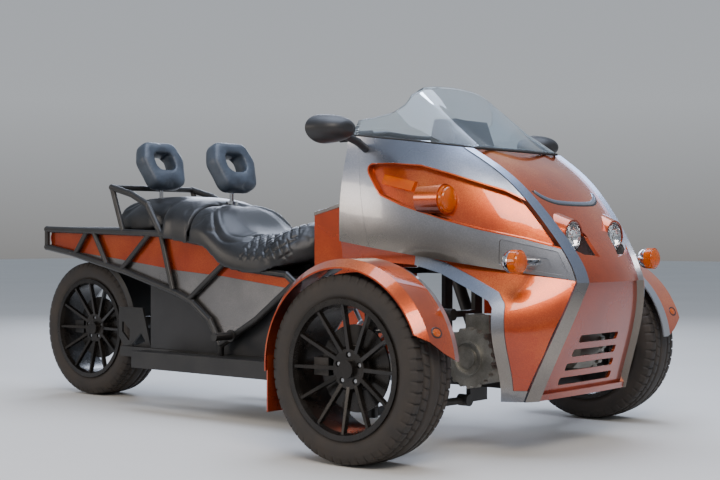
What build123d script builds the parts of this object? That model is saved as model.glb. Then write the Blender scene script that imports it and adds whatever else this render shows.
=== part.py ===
from build123d import *
import math
import os

# Open two-seat three wheeler: two steered, driven wheels in front and one wheel behind.
# Millimetres. +X is the vehicle's left, +Y its rear, +Z up; the nose points along -Y.
# All places are measured from the front axle line at ground level. The parts are moved once,
# on export, so that the origin is the bottom centre of the whole vehicle.

# Whole vehicle
wheelbase = 2032.0
front_track = 1389.0
nose_overhang = 488.0
tyre_radius = 288.0
tyre_width = 185.0
running_gap = 0.4
pivot_gap = 0.05
panel_gap = 0.3

# Wheels
rim_seat_radius = 204.0
rim_flange_radius = 211.0
barrel_radius = 196.0
barrel_wall = 8.0
rim_half_width = 88.0
rim_flange_width = 7.0
spoke_count = 12
spoke_root_width = 13.0
spoke_tip_width = 9.0
spoke_depth = 17.0
spoke_root_radius = 48.0
wheel_dish = 34.0
hub_radius = 60.0
hub_depth = 20.0
lug_count = 5
lug_circle_radius = 43.0
lug_hole_radius = 9.0
lug_hole_depth = 12.0
cap_radius = 27.0
cap_height = 14.0
disc_radius = 132.0
disc_thickness = 6.0
disc_offset = 22.0
disc_hat_radius = 70.0
disc_hat_wall = 6.0

# Hub carriers. Offsets are measured along the axle from the wheel's centre plane, outwards
carrier_radius = 56.0
carrier_bore_radius = 43.0
carrier_inner_end = -60.0
carrier_outer_end = 24.0
spindle_inner_end = -10.0
kingpin_offset = 54.0
upright_half_width = 18.0
upright_depth = 26.0
upright_top_rise = 138.0
upright_foot_drop = 126.0
ball_radius = 20.0
ball_boss_height = 14.0
steering_arm_reach = 110.0
steering_arm_drop = 40.0
steering_arm_thickness = 16.0
steering_arm_eye_radius = 18.0
caliper_low_radius = 92.0
caliper_high_radius = 150.0
caliper_half_span = 27.0
caliper_slot = 13.0
caliper_outer_end = 38.0
caliper_inner_end = -8.0

# Front suspension and drive. x is measured from the centre plane, y from the axle
wishbone_tube_radius = 12.0
upper_pivot_x = 325.0
upper_pivot_spread = 60.0
upper_pivot_z = 434.0
lower_pivot_x = 265.0
lower_pivot_spread = 80.0
lower_pivot_z = 158.0
pivot_bush_radius = 19.0
pivot_bush_length = 40.0
cv_ball_radius = 35.0
half_shaft_radius = 13.0
cv_boot_radius = 33.0
cv_boot_length = 60.0
gear_case_face_x = 322.0
output_boss_radius = 62.0
motor_forward = 150.0
motor_rise = 14.0
motor_radius = 88.0
motor_lobes = 20
motor_lobe_radius = 8.0
motor_cover_depth = 24.0
motor_ring_radius = 54.0
motor_ring_wall = 7.0
motor_ring_depth = 10.0
controller_width = 80.0
controller_length = 90.0
controller_top_z = 436.0
rack_radius = 17.0
rack_z = 265.0
rack_sleeve_half_length = 140.0
rack_sleeve_wall = 12.0
tie_rod_radius = 9.0
tie_rod_eye_radius = 18.0
tie_rod_eye_height = 22.0
damper_top = (290.0, 150.0, 560.0)
damper_foot_share = 0.62
damper_foot_rise = 26.0
damper_spring_radius = 28.0
damper_coil_radius = 5.0
damper_coils = 9
damper_body_radius = 19.0
damper_rod_radius = 9.0

# Front fenders and mud flaps
fender_gap = 26.0
fender_wall = 5.0
fender_inner_reach = 64.0
fender_band_width = 30.0
fender_band_rise = 12.0
fender_outer_reach = 97.0
fender_lip_drop = 14.0
fender_rear_angle = -4.0
fender_front_angle = 174.0
# lower edge of the front tip as x, z from the wheel's centre
fender_tip_line = ((-55.0, 30.0), (10.0, 60.0), (101.0, 118.0))
fender_stay_radius = 7.0
fender_stay_angles = (58.0, 122.0)
flap_drop = 150.0
flap_wall = 5.0
flap_width = 140.0

# Nose and side fairings: thin walls between level sections
fairing_wall = 10.0
ribbon_step = 16.0
fairing_step = 6.0
ribbon_angle = 26.5
side_edge_stretch = 1.15
edge_overlap = 2.0
fairing_rear_y = 300.0
seam_gap = 0.8
# height, ribbon outer x, ribbon outer y, ribbon width, rear x, side bulge
upper_sections = (
    (540.0, 212.0, -464.0, 44.0, 425.0, 52.0),
    (604.0, 215.0, -440.0, 44.0, 436.0, 58.0),
    (700.0, 233.0, -380.0, 42.0, 442.0, 60.0),
    (800.0, 252.0, -303.0, 38.0, 438.0, 52.0),
    (903.0, 272.0, -193.0, 33.0, 420.0, 40.0),
    (1030.0, 298.0, -20.0, 30.0, 396.0, 24.0),
)
# height, ribbon outer x, ribbon outer y, ribbon width, rear x, side bulge
lower_sections = (
    (160.0, 317.0, -337.0, 52.0, 430.0, 62.0),
    (300.0, 290.0, -388.0, 50.0, 430.0, 74.0),
    (470.0, 242.0, -448.0, 46.0, 430.0, 84.0),
    (540.0, 212.0, -464.0, 44.0, 425.0, 62.0),
    (690.0, 231.0, -386.0, 44.0, 441.0, 60.0),
)
nose_low_z = 174.0
kink_z = 540.0
lower_front_step = 22.0
lower_front_sag = 6.0
lower_side_step = 9.0
nose_shelf_depth = 40.0
nose_shelf_wall = 7.0
# side view lines as y, z
sill_line = ((-520.0, 537.0), (320.0, 671.0))
cowl_line = ((-700.0, 900.0), (-112.0, 965.0), (95.0, 993.0), (254.0, 1012.0), (330.0, 1020.0))
seam_line = ((165.0, 600.0), (265.0, 1040.0))
inset_outline = (
    (211.0, 922.0), (110.0, 921.0), (16.0, 913.0), (-82.0, 884.0), (-245.0, 829.0), (-352.0, 772.0),
    (-462.0, 628.0), (-309.0, 675.0), (-185.0, 704.0), (-91.0, 731.0), (60.0, 780.0),
    (145.0, 816.0), (197.0, 887.0),
)
inset_corner = 18.0
inset_depth = 24.0
inset_wall = 4.0
lamp_plate_outline = ((-247.0, 676.0), (-403.0, 636.0), (-440.0, 560.0), (-246.0, 595.0))
lamp_plate_corner = 8.0
lamp_plate_depth = 4.0
lamp_slot_outline = ((-313.0, 628.0), (-378.0, 614.0), (-392.0, 578.0), (-309.0, 583.0))
lamp_slot_corner = 5.0
lamp_slot_depth = 8.0
# side view outline of the lower side panel with its trim, as y, z
wing_outline = (
    (-700.0, 174.0), (-272.0, 174.0), (-268.0, 252.0), (-252.0, 462.0), (-236.0, 484.0), (-155.0, 525.0),
    (-62.0, 567.0), (30.0, 592.0), (420.0, 622.0), (420.0, 760.0), (-700.0, 760.0),
)
wing_trim_width = 34.0
wing_trim_proud = 3.0
wing_trim_depth = 18.0
leg_panel_front_y = 128.0
leg_panel_low_z = 345.0
leg_panel_x = 392.0
strip_depth = 36.0

# Grille
grille_slots = 4
grille_top_z = 361.0
grille_pitch = 44.5
grille_slot_height = 24.0
grille_slot_corner = 8.0
grille_top_half_width = 119.0
grille_spread = 14.0
nose_lip_height = 20.0
nose_lip_proud = 14.0

# Lamps
headlamp_x = 128.5
headlamp_y = -398.0
headlamp_z = 681.0
headlamp_radius = 48.5
headlamp_wall = 3.0
headlamp_length = 60.0
headlamp_lens_wall = 5.0
# front view outline of the scoop ahead of each lamp as x, z, from its tip round
lamp_pocket_outline = (
    (48.0, 611.0), (131.0, 629.0), (176.0, 650.0), (190.0, 681.0), (180.0, 728.0), (131.0, 748.0), (84.0, 738.0),
    (54.0, 690.0),
)
lamp_pocket_front_y = -470.0
hood_bite = 1.0
lamp_pocket_wall = 5.0
lamp_pod_back = (148.0, -325.0, 706.0, 62.0)
headlamp_sleeve_wall = 6.0
turn_lamp_x = 420.0
turn_lamp_y = -368.0
turn_lamp_z = 607.0
turn_lamp_radius = 36.0
turn_lamp_lens = 24.0
turn_lamp_bowl = 34.0
turn_stalk_radius = 10.0
turn_stalk_length = 190.0
side_lamp_y = -86.0
side_lamp_z = 801.0
side_lamp_radius = 43.0
side_lamp_lens = 12.0
side_lamp_reach = 36.0
side_lamp_housing = 90.0
side_lamp_housing_wall = 5.0
reflector_y = 90.0
reflector_z = 856.0
reflector_length = 112.0
reflector_height = 30.0
reflector_depth = 14.0
reflector_tilt = 12.8
tail_lamp_x = 150.0
tail_lamp_z = 675.0
tail_lamp_radius = 32.0
tail_lamp_depth = 18.0

# Windshield. height, front y, bend x, bend y, shoulder x, shoulder y, rear x, rear y
screen_wall = 5.0
screen_sections = (
    (940.0, -178.0, 150.0, -152.0, 268.0, -120.0, 398.0, 300.0),
    (1040.0, -50.0, 150.0, -22.0, 250.0, 30.0, 386.0, 320.0),
    (1130.0, 70.0, 168.0, 94.0, 232.0, 140.0, 334.0, 340.0),
    (1226.0, 198.0, 172.0, 218.0, 208.0, 252.0, 262.0, 360.0),
)
# front view outline of its top edge, as x, z
screen_top_outline = (
    (0.0, 1199.0), (104.0, 1196.0), (168.0, 1187.0), (197.0, 1176.0), (225.0, 1158.0), (253.0, 1128.0),
    (290.0, 1097.0), (326.0, 1080.0), (362.0, 1069.0), (394.0, 1052.0), (430.0, 1010.0),
)
screen_rear_y = 292.0
deck_wall = 8.0
deck_rear_y = 190.0
binnacle_half_width = 112.0
binnacle_front_y = 60.0
binnacle_rear_y = 176.0
binnacle_top_z = 1080.0

# Mirrors
mirror_x = 602.0
mirror_y = 207.0
mirror_z = 1023.0
# y from the pod's middle, half width, half height
mirror_sections = (
    (-84.0, 22.0, 12.0),
    (-74.0, 46.0, 25.0),
    (-52.0, 66.0, 36.0),
    (-20.0, 79.0, 43.0),
    (14.0, 84.0, 46.0),
    (24.0, 84.0, 46.0),
)
mirror_glass_wall = 4.0
mirror_foot = (392.0, 222.0, 966.0)
mirror_stalk_radius = 13.0

# Steering column and handlebar
column_top_y = 330.0
column_top_z = 1000.0
column_lean = 22.0
column_length = 250.0
column_radius = 16.0
column_sleeve_wall = 9.0
column_sleeve_length = 96.0
bar_radius = 11.0
bar_half_span = 310.0
bar_pull_back = 80.0
bar_rise = 36.0
bar_bend = 30.0
grip_radius = 17.0
grip_length = 118.0

# Frame, body core and tail. Nodes of the side frames are y, z
frame_x = 222.0
frame_tube_radius = 13.0
weld_bulge = 0.8
cross_tube_radius = 11.0
rail_top = ((2139.0, 713.0), (1417.0, 693.0))
rail_low = (
    (2139.0, 637.0), (1972.0, 612.0), (1628.0, 541.0), (1320.0, 461.0), (1234.0, 429.0), (1140.0, 362.0),
    (1082.0, 272.0),
)
front_diagonal = ((1082.0, 272.0), (895.0, 374.0), (700.0, 515.0))
seat_rail = (
    (700.0, 515.0), (742.0, 544.0), (979.0, 565.0), (1059.0, 584.0), (1160.0, 655.0), (1417.0, 693.0),
)
frame_struts = (
    ((2139.0, 637.0), (2139.0, 713.0)),
    ((1870.0, 705.0), (1950.0, 608.0)),
    ((1830.0, 704.0), (1743.0, 565.0)),
    ((1480.0, 695.0), (1656.0, 547.0)),
    ((1417.0, 693.0), (1347.0, 468.0)),
    ((1059.0, 584.0), (1259.0, 438.0)),
)
hoop_leg = ((1417.0, 693.0), (1498.0, 810.0), (1591.0, 852.0), (1712.0, 882.0))
hoop_strut_foot = (1643.0, 699.0)
cross_tubes = ((2139.0, 637.0), (2139.0, 713.0), (1628.0, 541.0), (1712.0, 882.0))
side_panel_wall = 6.0
panel_split = ((600.0, 478.0), (1085.0, 532.0), (1340.0, 550.0), (1720.0, 594.0), (2200.0, 640.0))
battery_half_width = 184.0
battery_front_y = 726.0
battery_rear_y = 1520.0
battery_top_z = 536.0
seat_pan_half_width = 110.0
tail_low_z = 626.0
tail_top_z = 706.7
tail_front_y = 1246.0
tail_rear_y = 2118.0
tail_wall = 8.0
floor_rail_x = 170.0
floor_rail_size = 40.0
floor_rail_z = 215.0
floor_rail_rear_y = 1700.0
floor_cross_members = (-250.0, 20.0, 440.0, 900.0, 1480.0)
steering_post_radius = 21.0
dash_y = 249.0
dash_z = 850.0
tower_y = 60.0
tower_wall = 16.0
tower_top_z = 600.0
sill_x = 300.0
sill_width = 70.0
sill_low_z = 172.0
sill_high_z = 236.0
sill_front_y = 430.0
sill_rear_y = 1463.0
outrigger_radius = 14.0
outrigger_places = (500.0, 960.0, 1400.0)
floor_plate_rear_y = 1040.0
peg_y = 1010.0
peg_z = 311.0
peg_length = 92.0
peg_radius = 15.0

# Console between the knees. Rows: y, shoulder z, crown z
console_half_width = 148.0
console_wall = 6.0
console_sections = (
    (430.0, 816.0, 846.0),
    (560.0, 785.0, 817.0),
    (672.0, 758.0, 794.0),
)
console_low_z = 235.3

# Seats and backrests. Rows: y, half width, skirt z, underside z, shoulder z, crown z
seat_gap = 0.3
seat_skirt_wall = 9.5
seat_skirt_inset = 4.0
saddle_sections = (
    (672.3, 138.0, 603.0, 604.0, 716.0, 744.0),
    (730.0, 196.0, 583.0, 584.0, 698.0, 730.0),
    (790.0, 226.0, 567.0, 568.0, 684.0, 714.0),
    (801.0, 250.0, 566.0, 567.0, 682.0, 710.0),
    (807.0, 250.0, 536.0, 567.0, 680.0, 708.0),
    (860.0, 250.0, 541.0, 571.0, 672.0, 690.0),
    (979.0, 250.0, 551.0, 581.0, 668.0, 682.0),
    (1059.0, 250.0, 570.0, 601.0, 700.0, 716.0),
    (1160.0, 250.0, 641.0, 672.0, 764.0, 786.0),
    (1240.0, 250.0, 653.0, 684.0, 786.0, 812.0),
)
pillion_sections = (
    (1240.8, 250.0, 653.0, 708.0, 786.0, 812.0),
    (1340.0, 250.0, 668.0, 708.0, 802.0, 832.0),
    (1385.0, 250.0, 674.0, 708.0, 804.0, 834.0),
    (1386.0, 250.0, 707.0, 708.0, 804.0, 834.0),
    (1402.0, 207.0, 707.0, 708.0, 806.0, 836.0),
    (1520.0, 200.0, 707.0, 708.0, 808.0, 838.0),
    (1720.0, 188.0, 707.0, 708.0, 800.0, 828.0),
)
pad_width = 236.0
pad_foot_width = 170.0
pad_height = 212.0
pad_thickness = 78.0
pad_corner = 48.0
pad_edge = 24.0
pad_hole_width = 98.0
pad_hole_height = 78.0
pad_hole_corner = 26.0
pad_lean = 24.0
post_radius = 9.0
post_flange_radius = 24.0
post_flange_height = 6.0
# y, flange z, pad centre z
backrests = (
    (1246.0, 816.0, 954.0),
    (1664.0, 832.0, 974.0),
)

# Swing arm, left of the rear wheel
swing_pivot_y = 1650.0
swing_pivot_z = 330.0
swing_tube_radius = 26.0
swing_beam_x = 120.0
swing_beam_width = 28.0
swing_beam_height = 60.0
pivot_plate_wall = 9.7
pivot_plate_rear_y = 1756.0
pivot_plate_low_z = 272.0
pivot_plate_top_z = 392.0
# windows as y, z
pivot_plate_windows = (
    ((1590.0, 255.0), (1690.0, 225.0), (1620.0, 290.0)),
    ((1690.0, 250.0), (1736.0, 290.0), (1736.0, 340.0), (1688.0, 300.0)),
)
hugger_gap = 22.0
hugger_wall = 5.0
hugger_half_width = 100.0
hugger_front_angle = 200.0
hugger_rear_angle = 96.0

wheel_x = front_track / 2
kingpin_x = wheel_x - kingpin_offset
origin_shift = (nose_overhang - tyre_radius - wheelbase) / 2
fender_base_radius = tyre_radius + fender_gap
carrier_top_z = tyre_radius + upright_top_rise
carrier_foot_z = tyre_radius - upright_foot_drop
rail_outer_x = floor_rail_x + floor_rail_size / 2
rail_inner_x = floor_rail_x - floor_rail_size / 2
rail_low_z = floor_rail_z - floor_rail_size / 2
rail_high_z = floor_rail_z + floor_rail_size / 2
side_panel_x = frame_x - frame_tube_radius - weld_bulge - panel_gap - side_panel_wall
lean = math.radians(column_lean)
column_foot_y = column_top_y - math.sin(lean) * column_length
column_foot_z = column_top_z - math.cos(lean) * column_length


def union(shapes):
    """All the shapes fused into one."""
    result = shapes[0]
    for shape in shapes[1:]:
        result = result + shape
    return result


def both_sides(shape):
    """A shape and its mirror image about the centre plane, as one compound of separate solids."""
    return Compound(children=[*shape.solids(), *mirror(shape, about=Plane.YZ).solids()])


def group(shapes):
    """Several shapes as one compound of separate solids."""
    return Compound(children=[solid for shape in shapes for solid in shape.solids()])


def rod(start, end, radius):
    """A round bar between two points."""
    start, end = Vector(*start), Vector(*end)
    bar = Cylinder(radius, (end - start).length, align=(Align.CENTER, Align.CENTER, Align.MIN))
    return Plane(origin=start, z_dir=end - start) * bar


def tube_run(points, radius):
    """Round bars through the points, with a ball at each joint between them."""
    pieces = [rod(start, end, radius) for start, end in zip(points, points[1:])]
    pieces += [Pos(*point) * Sphere(radius + weld_bulge) for point in points[1:-1]]
    return union(pieces)


def block(x0, x1, y0, y1, z0, z1):
    """A box given by its limits."""
    return Pos((x0 + x1) / 2, (y0 + y1) / 2, (z0 + z1) / 2) * Box(x1 - x0, y1 - y0, z1 - z0)


def side_face(outline, corner=0.0, shrink=0.0):
    """A flat outline of (y, z) points in the centre plane, with rounded corners, made smaller if asked."""
    face = make_face(Polyline(*[(0, y, z) for y, z in outline], close=True))
    if corner:
        face = fillet(face.vertices(), corner)
    if shrink:
        face = offset(face, amount=-shrink)
    return face


def side_prism(outline, x0, x1, corner=0.0, shrink=0.0):
    """An outline of (y, z) points, extruded across the vehicle from x0 to x1."""
    return extrude(Pos(x0, 0, 0) * side_face(outline, corner, shrink), amount=x1 - x0, dir=(1, 0, 0))


def front_prism(outline, y0, y1):
    """An outline of (x, z) points, extruded along the vehicle from y0 to y1."""
    face = make_face(Polyline(*[(x, y0, z) for x, z in outline], close=True))
    return extrude(face, amount=y1 - y0, dir=(0, 1, 0))


def axle_drum(radius, x0, x1):
    """A solid drum about the X axis from x0 to x1."""
    drum = Cylinder(radius, x1 - x0, align=(Align.CENTER, Align.CENTER, Align.MIN))
    return Plane(origin=(x0, 0, 0), z_dir=(1, 0, 0)) * drum


def axle_ring(outer, inner, x0, x1):
    """A ring about the X axis from x0 to x1."""
    return axle_drum(outer, x0, x1) - axle_drum(inner, x0 - 1, x1 + 1)


def turned(outline):
    """A profile of (x, radius) points turned about the X axis."""
    face = make_face(Polyline(*[(x, 0, r) for x, r in outline], close=True))
    return revolve(face, axis=Axis.X)


def above(line, lift):
    """The region above a side view line, right across the vehicle."""
    points = [(y, z + lift) for y, z in line]
    return side_prism(points + [(line[-1][0], 1500.0), (line[0][0], 1500.0)], -900, 900)


def below(line, drop):
    """The region below a side view line, right across the vehicle."""
    points = [(y, z - drop) for y, z in line]
    return side_prism(points + [(line[-1][0], -50.0), (line[0][0], -50.0)], -900, 900)


# Wheels, centred on their own axle, with +X as the outer face
def tyre():
    half = tyre_width / 2
    bead = rim_half_width - rim_flange_width - 1
    shoulder = half - 12
    tread_edge = tyre_radius - 7
    sidewall = (tyre_radius + rim_seat_radius) / 2
    lip_x = rim_half_width - 2
    lip = rim_flange_radius + 1
    section = make_face(
        [
            Polyline((-lip_x, 0, lip), (-bead, 0, lip), (-bead, 0, rim_seat_radius)),
            Line((-bead, 0, rim_seat_radius), (bead, 0, rim_seat_radius)),
            Polyline((bead, 0, rim_seat_radius), (bead, 0, lip), (lip_x, 0, lip)),
            Polyline((lip_x, 0, lip), (half, 0, sidewall - 12), (half, 0, sidewall + 8), (shoulder, 0, tread_edge)),
            Polyline((shoulder, 0, tread_edge), (40, 0, tyre_radius), (-40, 0, tyre_radius), (-shoulder, 0, tread_edge)),
            Polyline((-shoulder, 0, tread_edge), (-half, 0, sidewall + 8), (-half, 0, sidewall - 12), (-lip_x, 0, lip)),
        ]
    )
    return revolve(section, axis=Axis.X)


def rim():
    """Barrel with flanges, spokes, hub with lug recesses and cap, spindle and brake disc."""
    seat = rim_seat_radius - running_gap
    wall = barrel_radius - barrel_wall
    bead = rim_half_width - rim_flange_width
    face_x = rim_half_width - wheel_dish
    barrel = turned(
        [
            (-rim_half_width, wall + 6),
            (-rim_half_width, rim_flange_radius),
            (-bead, rim_flange_radius),
            (-bead, seat),
            (bead, seat),
            (bead, rim_flange_radius),
            (rim_half_width, rim_flange_radius),
            (rim_half_width, wall + 6),
            (bead - 10, wall),
            (10 - bead, wall),
        ]
    )
    spoke_x = face_x - spoke_depth / 2 - 1
    tip_x = rim_half_width - spoke_depth / 2 - 6
    root = Plane(origin=(spoke_x, 0, spoke_root_radius), z_dir=(0, 0, 1)) * Rectangle(spoke_depth, spoke_root_width)
    tip = Plane(origin=(tip_x, 0, wall + 5), z_dir=(0, 0, 1)) * Rectangle(spoke_depth, spoke_tip_width)
    spoke = loft([root, tip])
    spokes = [Rot(360 / spoke_count * index, 0, 0) * spoke for index in range(spoke_count)]
    hub = axle_drum(hub_radius, face_x - hub_depth, face_x)
    cap = axle_drum(cap_radius, face_x - 1, face_x + cap_height)
    spindle = axle_drum(carrier_bore_radius - pivot_gap, spindle_inner_end, face_x - hub_depth + 1)
    hat_end = face_x - hub_depth + disc_hat_wall
    hat = axle_ring(disc_hat_radius, disc_hat_radius - disc_hat_wall, disc_offset - disc_thickness, hat_end)
    plate = axle_drum(disc_hat_radius, face_x - hub_depth, hat_end)
    disc = axle_ring(disc_radius, disc_hat_radius - disc_hat_wall, disc_offset - disc_thickness, disc_offset)
    wheel = union([barrel, hub, cap, spindle, hat, plate, disc, *spokes])
    hole = Pos(face_x - lug_hole_depth / 2 + 1, 0, lug_circle_radius) * Rot(0, 90, 0) * Cylinder(
        lug_hole_radius, lug_hole_depth + 2
    )
    for lug in range(lug_count):
        wheel -= Rot(360 / lug_count * lug, 0, 0) * hole
    return wheel


def place_wheel(shape, x, y, outer_side):
    """A wheel piece on its axle, with its outer face towards outer_side."""
    if outer_side < 0:
        shape = mirror(shape, about=Plane.YZ)
    return Pos(x, y, tyre_radius) * shape


def hub_carrier():
    """The ring that holds the spindle, about the X axis, with its outer side towards +X."""
    return axle_ring(carrier_radius, carrier_bore_radius, carrier_inner_end, carrier_outer_end)


def brake_caliper():
    """A caliper that straddles the disc's edge behind the axle, with its bracket to the carrier."""
    half = caliper_half_span
    body = block(caliper_inner_end, caliper_outer_end, caliper_low_radius, caliper_high_radius, -half, half)
    slot_centre = disc_offset - disc_thickness / 2
    slot = axle_drum(disc_radius + 5, slot_centre - caliper_slot / 2, slot_centre + caliper_slot / 2)
    bracket = block(caliper_inner_end, 4, carrier_radius - 4, caliper_low_radius + 4, -half, half)
    return body - slot + bracket


# Left front corner. Its mirror image is the right one
def knuckle():
    """Upright with hub carrier, ball bosses, steering arm and caliper."""
    x0 = kingpin_x - upright_depth / 2
    x1 = kingpin_x + upright_depth / 2
    half = upright_half_width
    grip = carrier_radius - 8
    carrier = Pos(wheel_x, 0, tyre_radius) * (hub_carrier() + brake_caliper())
    upper = block(x0, x1, -half, half, tyre_radius + grip, carrier_top_z)
    lower = block(x0, x1, -half, half, carrier_foot_z, tyre_radius - grip)
    upper += Pos(kingpin_x, 0, carrier_top_z - ball_boss_height / 2) * Cylinder(ball_radius, ball_boss_height)
    lower += Pos(kingpin_x, 0, carrier_foot_z + ball_boss_height / 2) * Cylinder(ball_radius, ball_boss_height)
    arm_z = tyre_radius - steering_arm_drop
    arm = block(x0, x1, 0, steering_arm_reach, arm_z - steering_arm_thickness, arm_z)
    eye = Pos(kingpin_x, steering_arm_reach, arm_z - steering_arm_thickness / 2) * Cylinder(
        steering_arm_eye_radius, steering_arm_thickness
    )
    bore = Pos(wheel_x, 0, tyre_radius) * axle_drum(carrier_bore_radius, carrier_inner_end - 20, carrier_outer_end + 1)
    return union([carrier, upper, lower, arm, eye]) - bore


def fender_outline(offset_out):
    """The arch across the tread as (x, radius) points, from the inner edge out."""
    crest = fender_base_radius + fender_band_rise + offset_out
    return [
        (-fender_inner_reach, crest - 8),
        (fender_band_width - fender_inner_reach, crest),
        (fender_outer_reach - 30, fender_base_radius + 10 + offset_out),
        (fender_outer_reach, fender_base_radius - fender_lip_drop + offset_out),
    ]


def fender():
    """Arched fender, cut away at its front tip, with its stays and the mud flap behind."""
    outline = fender_outline(0) + fender_outline(fender_wall)[::-1]
    face = make_face(Polyline(*[(x, r, 0) for x, r in outline], close=True))
    arch_angle = fender_front_angle - fender_rear_angle
    arch = revolve(Rot(fender_rear_angle, 0, 0) * face, axis=Axis.X, revolution_arc=arch_angle)
    outer_x, outer_z = fender_tip_line[-1]
    tip_cut = [(fender_tip_line[0][0], -50.0), *fender_tip_line, (outer_x + 40, outer_z), (outer_x + 40, -50.0)]
    arch -= front_prism(tip_cut, -tyre_radius - 200, -tyre_radius * 0.6)
    flap_y = fender_base_radius + fender_band_rise - 22
    flap_x = 6 - fender_inner_reach
    flap = block(flap_x, flap_x + flap_width, flap_y, flap_y + flap_wall, -flap_drop, 26)
    flap += block(flap_x, flap_x + flap_width / 2, flap_y, flap_y + 30, -20, 26)
    stay_radius = fender_base_radius + fender_band_rise - 4
    stay_x = -tyre_width / 2 - 18
    stays = []
    for angle in fender_stay_angles:
        y = math.cos(math.radians(angle)) * stay_radius
        z = math.sin(math.radians(angle)) * stay_radius
        side = math.copysign(1, y)
        points = [
            (-kingpin_offset, side * (upright_half_width + panel_gap), upright_top_rise - 28),
            (-kingpin_offset, side * 60, upright_top_rise - 28),
            (stay_x, side * 88, upright_top_rise - 8),
            (stay_x, side * 150, stay_radius * 0.72),
            (4 - fender_inner_reach, y, z),
        ]
        stays.append(tube_run(points, fender_stay_radius))
    return Pos(wheel_x, 0, tyre_radius) * union([arch, flap, *stays])


def wishbones():
    """Upper and lower wishbones of the left side, with inner bushes and outer ball joints."""
    reach = ball_boss_height + running_gap
    arms = []
    for ball_z, inner_x, inner_z, spread in (
        (carrier_top_z + reach, upper_pivot_x, upper_pivot_z, upper_pivot_spread),
        (carrier_foot_z - reach, lower_pivot_x, lower_pivot_z, lower_pivot_spread),
    ):
        pieces = [Pos(kingpin_x, 0, ball_z) * Cylinder(ball_radius, ball_boss_height * 2)]
        for side in (-1, 1):
            bush = Rot(90, 0, 0) * Cylinder(pivot_bush_radius, pivot_bush_length)
            pieces.append(rod((inner_x, side * spread, inner_z), (kingpin_x - 8, 0, ball_z), wishbone_tube_radius))
            pieces.append(Pos(inner_x, side * spread, inner_z) * bush)
        arms.append(pieces)
    foot_x, foot_y, foot_z = damper_foot()
    arms[1].append(rod((foot_x, -foot_y, foot_z - damper_foot_rise), (foot_x, foot_y, foot_z - damper_foot_rise), 9))
    arms[1].append(rod((foot_x, foot_y, foot_z - damper_foot_rise), (foot_x, foot_y, foot_z), damper_rod_radius))
    return group([union(pieces) for pieces in arms])


def damper_foot():
    """Where the damper stands on the rear tube of the lower wishbone."""
    ball_z = carrier_foot_z - ball_boss_height
    share = damper_foot_share
    return (
        lower_pivot_x + (kingpin_x - lower_pivot_x) * share,
        lower_pivot_spread * (1 - share),
        lower_pivot_z + (ball_z - lower_pivot_z) * share + damper_foot_rise,
    )


def damper(foot, top):
    """A coil spring over its damper body, turned as one profile, standing at foot and ending at top."""
    foot, top = Vector(*foot), Vector(*top)
    length = (top - foot).length
    outer = damper_spring_radius
    core = outer - 2 * damper_coil_radius
    low, high = length * 0.16, length * 0.88
    profile = [(0, 0), (damper_rod_radius, 0), (damper_rod_radius, low - 4), (outer, low - 4), (outer, low + 4)]
    pitch = length * 0.62 / damper_coils
    for coil in range(damper_coils + 1):
        z = length * 0.22 + pitch * coil
        half = damper_coil_radius
        profile += [(core, z - half), (outer, z - half / 2), (outer, z + half / 2), (core, z + half)]
    profile += [(outer, high - 4), (outer, high + 4), (damper_body_radius, high + 4)]
    profile += [(damper_body_radius, length), (0, length)]
    face = make_face(Polyline(*[(r, 0, z) for r, z in profile], close=True))
    return Plane(origin=foot, z_dir=top - foot) * revolve(face, axis=Axis.Z)


def half_shaft():
    """Drive shaft from the gear case to a ball inside the hub carrier."""
    start_x = gear_case_face_x + panel_gap
    pieces = [Sphere(cv_ball_radius), axle_drum(half_shaft_radius, start_x - kingpin_x, 0)]
    pieces.append(axle_drum(cv_boot_radius, start_x - kingpin_x, start_x - kingpin_x + cv_boot_length))
    pieces.append(axle_drum(cv_boot_radius, -46 - cv_boot_length, -46))
    return Pos(kingpin_x, 0, tyre_radius) * union(pieces)


def motor_unit():
    """Left motor with its scalloped cover and ring, gear case and controller box."""
    back_x = rail_outer_x + panel_gap
    motor = Pos(0, -motor_forward, tyre_radius + motor_rise)
    cover_end = gear_case_face_x + motor_cover_depth
    output = Pos(0, 0, tyre_radius) * axle_drum(output_boss_radius, back_x, gear_case_face_x)
    body = motor * axle_drum(motor_radius, back_x, cover_end)
    bridge = block(back_x, gear_case_face_x, -motor_forward, 0, tyre_radius - 50, tyre_radius + 58)
    pieces = [output, body, bridge]
    for lobe in range(motor_lobes):
        turn = Rot(360 / motor_lobes * lobe, 0, 0)
        bolt = turn * Pos(0, 0, motor_radius) * axle_drum(motor_lobe_radius, gear_case_face_x, cover_end)
        pieces.append(motor * bolt)
    ring = axle_ring(motor_ring_radius, motor_ring_radius - motor_ring_wall, cover_end - 1, cover_end + motor_ring_depth)
    pieces.append(motor * ring)
    pieces.append(motor * axle_drum(motor_ring_radius * 0.55, cover_end - 1, cover_end + motor_ring_depth * 0.7))
    low_z = tyre_radius + motor_rise + motor_radius - 12
    box_x = (back_x + gear_case_face_x) / 2
    box = block(
        box_x - controller_width / 2,
        box_x + controller_width / 2,
        -motor_forward - controller_length / 2,
        -motor_forward + controller_length / 2,
        low_z,
        controller_top_z,
    )
    pieces.append(box)
    return union(pieces)


def steering_rack():
    """Rack bar with its tie rods, which reach over the steering arms."""
    bar = rod((-kingpin_x, steering_arm_reach, rack_z), (kingpin_x, steering_arm_reach, rack_z), tie_rod_radius)
    centre_half = rack_sleeve_half_length + 70
    centre = rod((-centre_half, steering_arm_reach, rack_z), (centre_half, steering_arm_reach, rack_z), rack_radius)
    eye = Pos(kingpin_x, steering_arm_reach, rack_z) * Cylinder(tie_rod_eye_radius, tie_rod_eye_height)
    return union([bar, centre, eye, mirror(eye, about=Plane.YZ)])


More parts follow.
